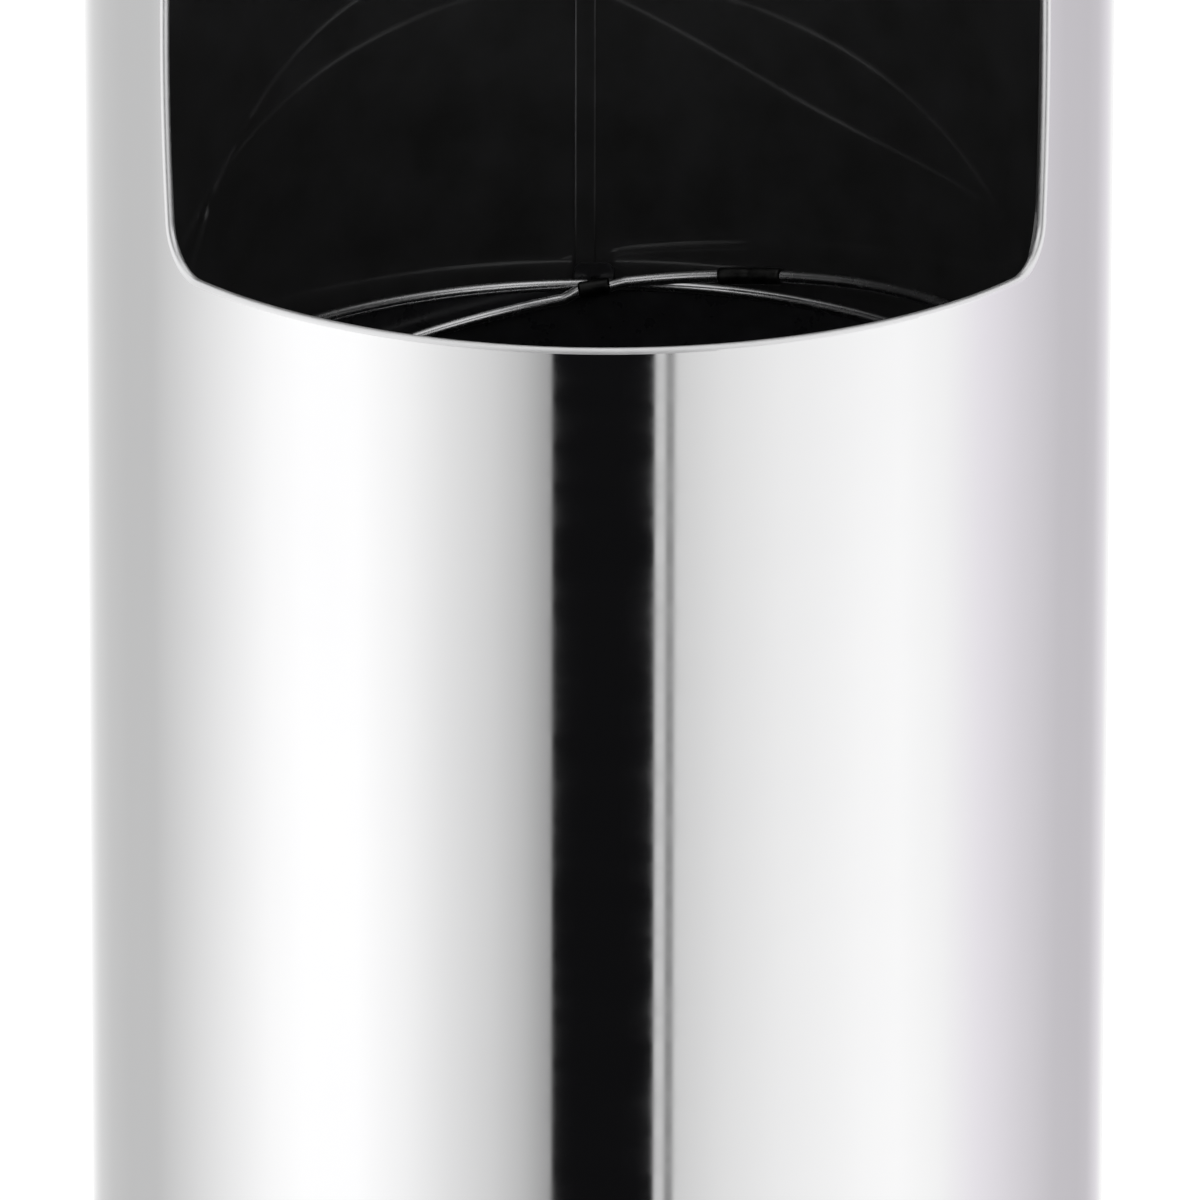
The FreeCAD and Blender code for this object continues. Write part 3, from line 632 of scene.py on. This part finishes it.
def rubber(name, shade):
    """Matt moulded rubber: fine grain with a dusty bloom."""
    material, tree, shader = new_material(name, (shade, shade, shade), 0.0, 0.75)
    bloom = noise(tree, object_point(tree), 45, 5, 0.65)
    pale = 1.8 * shade
    tree.links.new(mix_colours(tree, bloom, (shade, shade, shade), (pale, pale, pale)),
                   shader.inputs["Base Color"])
    tree.links.new(spread_values(tree, bloom, 0.62, 0.85), shader.inputs["Roughness"])
    add_bump(tree, shader, noise(tree, object_point(tree), 1400, 2), 0.25, 0.1 * MM)
    return material


def galvanised_steel():
    """Zinc spangle: flat crystals of slightly different greys."""
    material, tree, shader = new_material("galvanised_steel", (0.5, 0.51, 0.52), 1.0, 0.4)
    cells = add_node(tree, "ShaderNodeTexVoronoi")
    cells.inputs["Scale"].default_value = 90
    tree.links.new(object_point(tree), cells.inputs["Vector"])
    grey = add_node(tree, "ShaderNodeRGBToBW")
    tree.links.new(cells.outputs["Color"], grey.inputs["Color"])
    tree.links.new(mix_colours(tree, grey.outputs["Val"], (0.42, 0.43, 0.44),
                               (0.62, 0.63, 0.64), 0.1, 0.9), shader.inputs["Base Color"])
    tree.links.new(spread_values(tree, grey.outputs["Val"], 0.3, 0.5, 0.1, 0.9),
                   shader.inputs["Roughness"])
    return material


def painted_iron():
    material, tree, shader = new_material("painted_iron", (0.03, 0.03, 0.032), 0.0, 0.55)
    grain = noise(tree, object_point(tree), 220, 5, 0.65)
    tree.links.new(mix_colours(tree, grain, (0.02, 0.02, 0.022), (0.045, 0.045, 0.048)),
                   shader.inputs["Base Color"])
    tree.links.new(spread_values(tree, grain, 0.45, 0.65), shader.inputs["Roughness"])
    add_bump(tree, shader, grain, 0.4, 0.4 * MM)
    return material


def zinc_fastener():
    material, tree, shader = new_material("zinc_fastener", (0.6, 0.6, 0.57), 1.0, 0.35)
    stains = noise(tree, object_point(tree), 500, 4, 0.6)
    tree.links.new(mix_colours(tree, stains, (0.5, 0.5, 0.46), (0.68, 0.68, 0.66)),
                   shader.inputs["Base Color"])
    tree.links.new(spread_values(tree, stains, 0.28, 0.45), shader.inputs["Roughness"])
    return material


MATERIALS = {
    "polished_steel": polished_steel(),
    "black_lacquer": black_lacquer(),
    "bucket_enamel": bucket_enamel(),
    "bright_wire": bright_wire(),
    "ear_steel": blackened_steel(),
    "base_rubber": rubber("base_rubber", 0.012),
    "mat_rubber": rubber("mat_rubber", 0.016),
    "galvanised_steel": galvanised_steel(),
    "painted_iron": painted_iron(),
    "zinc_fastener": zinc_fastener(),
}


def assign_cad_materials():
    """Gives every CAD node the material of its slot."""
    for entry in frame["record"]["subparts"]:
        node = frame["nodes"][entry["node"]]
        node.data.materials.clear()
        node.data.materials.append(MATERIALS[entry["material_slot"]])


# ------------------------------------------------------------------ the stand
def hem_section():
    """The folded edge of the window: rounded nose, then a leg behind the sheet."""
    nose = arc((HEM_ROUND, HEM_ROUND), HEM_ROUND, 270, 180, 8)
    heel = arc((HEM_ROUND, HEM_DEPTH - HEM_ROUND), HEM_ROUND, 180, 90, 8)
    support = [(1.4 * HEM_WIDTH, 0), (HEM_ROUND + 0.3 * MM, 0)]
    leg = [(HEM_WIDTH - 0.3 * MM, HEM_DEPTH), (HEM_WIDTH, HEM_DEPTH - 0.3 * MM),
           (HEM_WIDTH, SHELL_SHEET)]
    return support + nose + heel + leg


def soften_fold(piece):
    """The folded edge, worked after polishing, is a little duller than the wall."""
    piece.data.materials.append(folded_edge())
    low = WINDOW_BOTTOM - HEM_ROUND
    high = WINDOW_TOP + HEM_ROUND
    same_depth = 0.001 * MM
    for face in piece.data.polygons:
        points = [piece.data.vertices[v].co for v in face.vertices]
        deepest = SHELL_RADIUS - min(math.hypot(*p.xy) for p in points)
        turn = abs(math.atan2(face.center.x, -face.center.y) - WINDOW_TURN)
        on_wall = deepest < same_depth or abs(deepest - SHELL_SHEET) < same_depth
        near = low < face.center.z < high and turn < WINDOW_HALF_ANGLE + math.radians(3)
        if near and not on_wall:
            face.material_index = 1


def build_shell():
    wall = WindowedWall(SHELL_RADIUS, SHELL_RADIUS - SHELL_SHEET,
                        SHELL_LOW.z, SHELL_HIGH.z, hem_section())
    piece = add_piece("shell_skin", wall.build(), "stand", "polished_steel", "outer_shell")
    wall.set_round_normals(piece)
    soften_fold(piece)


def build_liner():
    wall = WindowedWall(LINER_RADIUS, LINER_RADIUS - LINER_SHEET, LINER_LOW.z, LINER_HIGH.z,
                        [(LINER_MARGIN, 0), (LINER_MARGIN, LINER_SHEET)])
    piece = add_piece("liner_skin", wall.build(), "stand", "black_lacquer", "liner")
    wall.set_round_normals(piece)


def build_liner_seam():
    """Lap seam with softened long edges."""
    middle = math.atan2(0.5 * (STRIP_LOW.x + STRIP_HIGH.x), -STRIP_HIGH.y)
    half_width = 0.5 * (STRIP_HIGH.x - STRIP_LOW.x)
    rows = [(height, half_width, LINER_FACE - STRIP_SHEET, LINER_FACE)
            for height in spread(STRIP_LOW.z, STRIP_HIGH.z, 60)]
    # the seam's material paints highlights along its long edges
    add_piece("liner_seam", curved_slab(middle, rows, 0.25 * MM), "stand", "black_lacquer",
              "liner_seam_strip", material=seam_painted_highlight())


def build_top_ring():
    """Rolled channel over the upper edges of shell and liner."""
    outer, inner = RING_HIGH.x, RING_HIGH.x - RING_WIDTH
    foot, top, roof = RING_LOW.z, RING_HIGH.z, SHELL_HIGH.z + FIT_GAP
    groove_in, groove_out = LINER_FACE, SHELL_RADIUS + FIT_GAP
    big, small = 2.9 * MM, 0.5 * MM
    profile = [(groove_in, foot), (groove_in, roof), (groove_out, roof), (groove_out, foot)]
    profile += arc((outer - small, foot + small), small, -90, 0, 5)
    profile += arc((outer - big, top - big), big, 0, 90, 14)
    profile += arc((inner + big, top - big), big, 90, 180, 14)
    profile += arc((inner + small, foot + small), small, 180, 270, 5)
    add_piece("rolled_ring", lathe(profile, 320), "stand", "polished_steel", "top_ring")


def build_base():
    """Plate across the shell's foot, the collar in the shell and the ring in the liner."""
    soft = 0.4 * MM
    foot, top, rim = PLATE_LOW.z, PLATE_HIGH.z, PLATE_HIGH.x
    disc = rounded([(0, foot, 0), (rim, foot, soft), (rim, top, soft), (0, top, 0)])
    add_piece("base_disc", spindle(disc, 256), "stand", "galvanised_steel", "base_plate")
    for name, node, low, high, width in (
            ("foot_collar", "base_collar", COLLAR_LOW, COLLAR_HIGH, COLLAR_SHEET),
            ("foot_ring", "liner_foot_ring", FOOT_RING_LOW, FOOT_RING_HIGH, FOOT_RING_WIDTH)):
        inner = high.x - width
        band = rounded([(inner, low.z, 0), (high.x, low.z, 0), (high.x, high.z, soft),
                        (inner, high.z, soft)])
        add_piece(name, lathe(band), "stand", "galvanised_steel", node)


def build_base_ring():
    """Rubber floor ring with a lip; a shallow groove runs around it."""
    outer, foot, lip = BASE_HIGH.x, BASE_LOW.z, BASE_HIGH.z
    inner, shelf = outer - BASE_RING_WIDTH, SHELL_LOW.z - FIT_GAP
    soft, groove = 1.4 * MM, 0.5 * MM
    middle = 0.5 * (foot + lip)
    profile = [(inner, foot)] + arc((outer - soft, foot + soft), soft, -90, 0, 8)
    profile += [(outer, middle - 2 * groove), (outer - groove, middle - groove),
                (outer - groove, middle + groove), (outer, middle + 2 * groove)]
    profile += arc((outer - soft, lip - soft), soft, 0, 90, 8)
    profile += [(SHELL_RADIUS + FIT_GAP, lip), (SHELL_RADIUS + FIT_GAP, shelf), (inner, shelf)]
    add_piece("floor_ring", lathe(profile), "stand", "base_rubber", "base_ring")


# ------------------------------------------------------------------ the bucket
def wall_radius(height):
    """Outer radius of the tapered bucket wall."""
    share = (height - WALL_LOW.z) / (RIM_HEIGHT - WALL_LOW.z)
    return BUCKET_FOOT_RADIUS + (BUCKET_TOP_RADIUS - BUCKET_FOOT_RADIUS) * share


def build_bucket_wall():
    """Tapered sheet, eased at its skirt, that runs up under the rim wire."""
    foot, top = WALL_LOW.z, WALL_HIGH.z
    soft = 0.3 * MM
    profile = rounded([(wall_radius(foot) - BUCKET_SHEET, foot, soft),
                       (wall_radius(foot), foot, soft), (wall_radius(top), top, 0),
                       (wall_radius(top) - BUCKET_SHEET, top, 0)])
    add_piece("bucket_shell", lathe(profile), "bucket", "bucket_enamel", "bucket_wall")


def build_bucket_seam():
    """Lap seam on the outside of the bucket wall."""
    low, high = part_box("bucket_seam_strip")
    half_width = 0.5 * (high.y - low.y)
    rows = [(height, half_width, wall_radius(height) + FIT_GAP,
             wall_radius(height) + FIT_GAP + BUCKET_SHEET)
            for height in spread(low.z, high.z, 40)]
    add_piece("bucket_lap_seam", curved_slab(math.radians(-90), rows, 0.25 * MM), "bucket",
              "bucket_enamel", "bucket_seam_strip")


def build_bucket_pan():
    """Floor of the bucket: a disc whose edge is turned down inside the wall."""
    foot, top = PAN_LOW.z, PAN_HIGH.z
    edge, under = PAN_HIGH.x - 0.02 * MM, top - BUCKET_SHEET
    lower_edge = wall_radius(foot) - BUCKET_SHEET - 3 * FIT_GAP
    profile = rounded([
        (0, under, 0), (edge - BUCKET_SHEET, under, 1.5 * MM),
        (edge - BUCKET_SHEET, foot, 0.2 * MM), (lower_edge, foot, 0.2 * MM),
        (edge, top, 2.0 * MM), (0, top, 0)])
    add_piece("bucket_pan", spindle(profile, 256), "bucket", "bucket_enamel", "bucket_floor")


def build_mat_ribs():
    """Raised grip rings on the rubber mat, between its circles of drip holes."""
    top = MAT_HIGH.z
    ribs = [arc((radius * MM, top - 0.1 * MM), 0.9 * MM, -10, 190, 8)
            for radius in MAT_RIB_RADII]
    add_piece("mat_ribs", merged([lathe(rib, 160) for rib in ribs]), "bucket", "mat_rubber")


def build_rim():
    """Wire round the bucket's upper edge, open where the ring's pins pass."""
    gap = math.asin(0.5 * RIM_GAP / RIM_RADIUS)
    halves = []
    for start in (BUCKET_TURN, BUCKET_TURN + math.pi):
        points = [around(angle, RIM_RADIUS, RIM_HEIGHT)
                  for angle in spread(start + gap, start + math.pi - gap, 160)]
        halves.append(tube_along(points, [RIM_WIRE] * len(points)))
    add_piece("rim_wire", merged(halves), "bucket", "bright_wire", "bucket_rim")


def flare(height, start, half_width):
    """Half width of the ear's tab, which widens in a quarter round at its foot."""
    rise = min(height - start, EAR_ROUND)
    return half_width + EAR_ROUND - math.sqrt(EAR_ROUND ** 2 - (EAR_ROUND - rise) ** 2)


def crowned(height, top, half_width):
    """Half width near a rounded top corner."""
    drop = min(max(height - (top - EAR_ROUND), 0), EAR_ROUND)
    return half_width - EAR_ROUND + math.sqrt(EAR_ROUND ** 2 - drop ** 2)


def build_ear(side, middle):
    """Riveted plate and the tab that steps outwards and stands up behind the rim."""
    inner = BUCKET_TOP_RADIUS + FIT_GAP
    outer = inner + EAR_SHEET
    foot, top = EAR_LOW.z, EAR_HIGH.z
    wide = EAR_HALF_ANGLE * outer
    narrow = EAR_TAB_HALF_ANGLE * outer
    heights = [foot + EAR_ROUND * (1 - math.cos(t)) for t in spread(0, math.pi / 2, 6)]
    heights += [EAR_SHOULDER - EAR_ROUND * (1 - math.sin(t))
                for t in spread(0, math.pi / 2, 6)]
    plate = [(z, crowned(z, EAR_SHOULDER, wide) + crowned(foot + EAR_SHOULDER - z,
                                                          EAR_SHOULDER, 0), inner, outer)
             for z in heights]
    heights = [EAR_SHOULDER + EAR_ROUND * t * t for t in spread(0, 1, 6)]
    heights += spread(EAR_JOGGLE_FOOT, EAR_JOGGLE_TOP, 6)
    heights += [top - EAR_ROUND * (1 - math.sin(t)) for t in spread(0, math.pi / 2, 8)]
    tab = []
    for z in heights:
        share = min(max((z - EAR_JOGGLE_FOOT) / (EAR_JOGGLE_TOP - EAR_JOGGLE_FOOT), 0), 1)
        step = EAR_JOGGLE * share * share * (3 - 2 * share)
        width = flare(z, EAR_SHOULDER, narrow) + crowned(z, top, 0)
        tab.append((z, width, inner + step, outer + step))
    shape = merged([curved_slab(middle, rows, 0.25 * MM) for rows in (plate, tab)])
    add_piece(f"ear_plate_{side}", shape, "bucket", "bucket_enamel", f"ear_{side}")


def domed_head(radius, height, start):
    """A rivet head on the Z axis: short straight side under a low dome."""
    edge = 0.25 * height
    dome = [(radius * math.cos(t), start + edge + (height - edge) * math.sin(t))
            for t in spread(0, math.pi / 2, 7)]
    return spindle([(0, start), (radius, start)] + dome[:-1] + [(0, start + height)], 32)


def outwards(angle, radius, height):
    """A place on a round wall whose Z axis points away from the stand's axis."""
    facing = Vector(around(angle, 1, 0))
    return (Matrix.Translation(Vector(around(angle, radius, height)))
            @ facing.to_track_quat("Z", "Y").to_matrix().to_4x4())


def build_ear_rivets(side, middle):
    outside = BUCKET_TOP_RADIUS + EAR_SHEET + 2 * FIT_GAP
    inside = BUCKET_TOP_RADIUS - BUCKET_SHEET - 0.5 * MM
    flip = Matrix.Rotation(math.pi, 4, "X")
    heads = []
    for angle in (middle - EAR_RIVET_TURN, middle + EAR_RIVET_TURN):
        head = domed_head(RIVET_HEAD_RADIUS, RIVET_HEAD, 0)
        heads.append(placed(head, outwards(angle, outside, EAR_RIVET_HEIGHT)))
        heads.append(placed(head, outwards(angle, inside, EAR_RIVET_HEIGHT) @ flip))
    add_piece(f"rivet_heads_{side}", merged(heads), "bucket", "bucket_enamel",
              f"ear_rivets_{side}")


# ------------------------------------------------------------------ the swing ring
def ring_bend(across):
    """How far the hand-bent wire lies out of its plane, by distance from the pins' line."""
    free = max(abs(across) - 0.5 * PIVOT_LENGTH, 0)
    step = min(free / WIRE_STEP_RUN, 1)
    step *= step * (3 - 2 * step)
    if across < 0:
        return -WIRE_SINK - WIRE_STEP_LEFT * step
    return -WIRE_SINK + WIRE_STEP_RIGHT * step - WIRE_FALL * free


def ring_point(angle):
    """A point of the swing ring's wire, in its own frame, at an angle from -Y."""
    x, y, _ = around(angle, SWING_RADIUS, 0)
    return Vector((x, y, ring_bend(x)))


def build_swing_wire():
    points = [ring_point(2 * math.pi * i / 320) for i in range(320)]
    shape = tube_along(points, [SWING_WIRE] * 320, closed=True)
    add_piece("swing_wire", placed(shape, SWING_PLACE), "swing_ring", "bright_wire",
              "swing_ring")


def build_sleeve():
    """Crimped sleeve over the joint of the ring's wire, with eased ends."""
    half = 0.5 * SLEEVE_LENGTH / SWING_RADIUS
    ease = 0.5 * MM
    stations = [(-1, SLEEVE_RADIUS - ease), (-0.97, SLEEVE_RADIUS - 0.3 * ease)]
    stations += [(t, SLEEVE_RADIUS - 0.15 * MM * math.exp(-(t / 0.12) ** 2))
                 for t in spread(-0.93, 0.93, 24)]
    stations += [(0.97, SLEEVE_RADIUS - 0.3 * ease), (1, SLEEVE_RADIUS - ease)]
    points = [ring_point(SLEEVE_ANGLE + t * half) for t, _ in stations]
    shape = tube_along(points, [radius for _, radius in stations], sides=32)
    add_piece("wire_joint_sleeve", placed(shape, SWING_PLACE), "swing_ring", "ear_steel",
              "ring_sleeve")


def build_pivots():
    """Collars on the ring's wire, each with a pin that ends in a riveted-over head."""
    half, ease = 0.5 * PIVOT_LENGTH, 0.5 * MM
    collar = spindle([(0, -half), (PIVOT_RADIUS - ease, -half), (PIVOT_RADIUS, ease - half),
                      (PIVOT_RADIUS, half - ease), (PIVOT_RADIUS - ease, half), (0, half)])
    pin = spindle([(0, SWING_RADIUS), (PIN_RADIUS, SWING_RADIUS),
                   (PIN_RADIUS, PIN_HEAD_START), (0, PIN_HEAD_START)], 32)
    head = domed_head(PIN_HEAD_RADIUS, PIN_HEAD, PIN_HEAD_START)
    shapes = []
    for facing in (1, -1):
        along_wire = Matrix.Translation(Vector((0, facing * SWING_RADIUS, 0)))
        shapes.append(placed(collar, along_wire @ Matrix.Rotation(math.pi / 2, 4, "Y")))
        to_side = Matrix.Rotation(-facing * math.pi / 2, 4, "X")
        shapes += [placed(pin, to_side), placed(head, to_side)]
    add_piece("pivot_collars", placed(merged(shapes), SWING_PLACE), "swing_ring", "ear_steel",
              "ring_trunnions")


# ------------------------------------------------------------------ stage, light and camera
# Tones of the light tent seen in the polished wall: azimuth from the camera, then the tone
# as it shows on screen, from 0 to 1.
TENT_TONES = [
    (-180, 1.0), (-168, 0.92), (-157, 0.815), (-146, 0.765), (-134, 0.745), (-120, 0.75),
    (-106, 0.835), (-92, 0.915), (-80, 0.975), (-70, 0.998), (-56, 0.998), (-44, 0.95),
    (-34, 0.88), (-24, 0.815), (-17, 0.735), (-11, 0.61), (13, 0.76), (20, 0.815),
    (28, 0.865), (42, 0.918), (62, 0.96), (72, 0.97), (84, 0.945), (96, 0.893),
    (110, 0.832), (128, 0.758), (142, 0.745), (150, 0.76), (160, 0.845), (170, 0.94)]
GAP_FROM, GAP_TO = -10.4, 12.5       # the dark opening that the camera looks through
GAP_TONE = 0.0045
GAP_FLARE = 4.5                      # degrees by which the opening widens as it rises
GAP_TOP = (0.4, 0.6)                 # sine of the elevation over which it fades
GAP_FADE = 0.12                      # how much of it is lost above that
HIGH_TONE = 0.9                      # the tent overhead
LINE_AT, LINE_HALF = 15.9, 1.0       # a thin dark edge beside the opening
LINE_DEPTH = 0.6
MIRROR_SHARE = 0.9                   # how much of the light the polished wall returns
PLAIN_LIGHT = 1.12


def to_linear(tone):
    return ((tone + 0.055) / 1.055) ** 2.4 if tone > 0.04045 else tone / 12.92


def tent_colours(tree, degrees):
    """The tent's tones around the horizon."""
    share = math_node(tree, "ADD", math_node(tree, "DIVIDE", degrees, 360.0), 0.5)
    ramp = add_node(tree, "ShaderNodeValToRGB")
    stops = ramp.color_ramp.elements
    stops.remove(stops[-1])
    for i, (azimuth, tone) in enumerate(TENT_TONES):
        place = (azimuth + 180) / 360
        stop = stops[0] if i == 0 else stops.new(place)
        stop.position = place
        level = to_linear(tone)
        lilac = 0.965 if 96 <= azimuth <= 160 else 1.0
        stop.color = (level, level * lilac, level * (2 - lilac) ** 0.5, 1)
    tree.links.new(share, ramp.inputs["Fac"])
    return ramp.outputs["Color"]


def build_world():
    """A light tent: upright bands of tone for reflections, plain white for the rest."""
    world = bpy.data.worlds.new("light_tent")
    bpy.context.scene.world = world
    world.use_nodes = True
    tree = world.node_tree
    tree.nodes.clear()
    direction = add_node(tree, "ShaderNodeTexCoord")
    parts = add_node(tree, "ShaderNodeSeparateXYZ")
    tree.links.new(direction.outputs["Generated"], parts.inputs["Vector"])
    away = math_node(tree, "MULTIPLY", parts.outputs["Y"], -1.0)
    turn = math_node(tree, "ARCTAN2", parts.outputs["X"], away)
    degrees = math_node(tree, "MULTIPLY", turn, 180 / math.pi)
    rise = parts.outputs["Z"]

    wider = soft_ramp(tree, rise, 0.0, 0.35, GAP_FLARE)
    folded = math_node(tree, "ABSOLUTE", math_node(tree, "SUBTRACT", degrees,
                                                   0.5 * (GAP_FROM + GAP_TO)))
    half_gap = 0.5 * (GAP_TO - GAP_FROM)
    beyond = math_node(tree, "SUBTRACT", math_node(tree, "SUBTRACT", folded, wider), half_gap)
    in_gap = math_node(tree, "SUBTRACT", 1.0, soft_ramp(tree, beyond, -0.45, 0.45))
    below_top = math_node(tree, "SUBTRACT", 1.0, soft_ramp(tree, rise, *GAP_TOP, GAP_FADE))
    in_line = band(tree, degrees, LINE_AT - LINE_HALF, LINE_AT + LINE_HALF, 0.6)

    high = to_linear(HIGH_TONE)
    overhead = soft_ramp(tree, rise, 0.25, 0.6)
    level = mix_by(tree, overhead, tent_colours(tree, degrees), (high, high, high, 1))
    line = math_node(tree, "MULTIPLY", math_node(tree, "MULTIPLY", in_line, LINE_DEPTH),
                     below_top)
    lined = mix_by(tree, line, level, (0.0, 0.0, 0.0, 1))
    gap = math_node(tree, "MULTIPLY", in_gap, below_top)
    banded = mix_by(tree, gap, lined, (GAP_TONE, GAP_TONE, 1.1 * GAP_TONE, 1))

    tent = add_node(tree, "ShaderNodeBackground")
    tent.inputs["Strength"].default_value = 1 / MIRROR_SHARE
    tree.links.new(banded, tent.inputs["Color"])
    plain = add_node(tree, "ShaderNodeBackground")
    plain.inputs["Strength"].default_value = PLAIN_LIGHT
    ray = add_node(tree, "ShaderNodeLightPath")
    chosen = add_node(tree, "ShaderNodeMixShader")
    tree.links.new(ray.outputs["Is Glossy Ray"], chosen.inputs["Fac"])
    tree.links.new(plain.outputs["Background"], chosen.inputs[1])
    tree.links.new(tent.outputs["Background"], chosen.inputs[2])
    output = add_node(tree, "ShaderNodeOutputWorld")
    tree.links.new(chosen.outputs["Shader"], output.inputs["Surface"])


def build_floor():
    """Plain white floor, left out of the polished wall's reflections."""
    half = 30.0
    mesh = bpy.data.meshes.new("floor")
    mesh.from_pydata([(-half, -half, 0), (half, -half, 0), (half, half, 0), (-half, half, 0)],
                     [], [(0, 1, 2, 3)])
    floor = bpy.data.objects.new("floor", mesh)
    bpy.context.scene.collection.objects.link(floor)
    material, tree, shader = new_material("floor_white", (0.93, 0.93, 0.93), 0.0, 0.9)
    shader.inputs["Specular IOR Level"].default_value = 0.0
    shader.inputs["Emission Color"].default_value = (1, 1, 1, 1)
    shader.inputs["Emission Strength"].default_value = 0.3
    mottle = noise(tree, object_point(tree), 3, 3)
    tree.links.new(mix_colours(tree, mottle, (0.925, 0.925, 0.925), (0.94, 0.94, 0.94)),
                   shader.inputs["Base Color"])
    mesh.materials.append(material)
    floor.visible_glossy = False


CAMERA_ELEVATION = math.radians(20.8)
CAMERA_DISTANCE = 41.3 * SHELL_RADIUS
AIM_SIDE, AIM_RISE = 0.4 * MM, 0.7 * MM
AIM_DROP = 0.895                             # of a radius, below the window's lower edge
AIM = Vector((AIM_SIDE, 0, WINDOW_BOTTOM + AIM_RISE - AIM_DROP * SHELL_RADIUS))
FRAME_WIDTH = 2.3557 * SHELL_RADIUS          # what the picture spans at the aim point
SENSOR = 36.0
CAMERA_ROLL = math.radians(0.1)


def build_camera():
    camera = bpy.data.cameras.new("camera")
    camera.sensor_width = SENSOR
    camera.lens = SENSOR * CAMERA_DISTANCE / FRAME_WIDTH
    camera.clip_end = 200
    seat = bpy.data.objects.new("camera", camera)
    bpy.context.scene.collection.objects.link(seat)
    back = Vector((0, -math.cos(CAMERA_ELEVATION), math.sin(CAMERA_ELEVATION)))
    seat.matrix_world = (Matrix.Translation(AIM + CAMERA_DISTANCE * back)
                         @ back.to_track_quat("Z", "Y").to_matrix().to_4x4()
                         @ Matrix.Rotation(CAMERA_ROLL, 4, "Z"))
    bpy.context.scene.camera = seat


# ------------------------------------------------------------------ making it all
assign_cad_materials()
build_shell()
build_liner()
build_liner_seam()
build_top_ring()
build_base()
build_base_ring()
build_bucket_wall()
build_bucket_seam()
build_bucket_pan()
build_mat_ribs()
build_rim()
for ear_side, ear_middle in (("back", math.pi + BUCKET_TURN), ("front", BUCKET_TURN)):
    build_ear(ear_side, ear_middle)
    build_ear_rivets(ear_side, ear_middle)
build_swing_wire()
build_sleeve()
build_pivots()
build_world()
build_floor()
build_camera()
bpy.context.scene.view_settings.view_transform = "Standard"
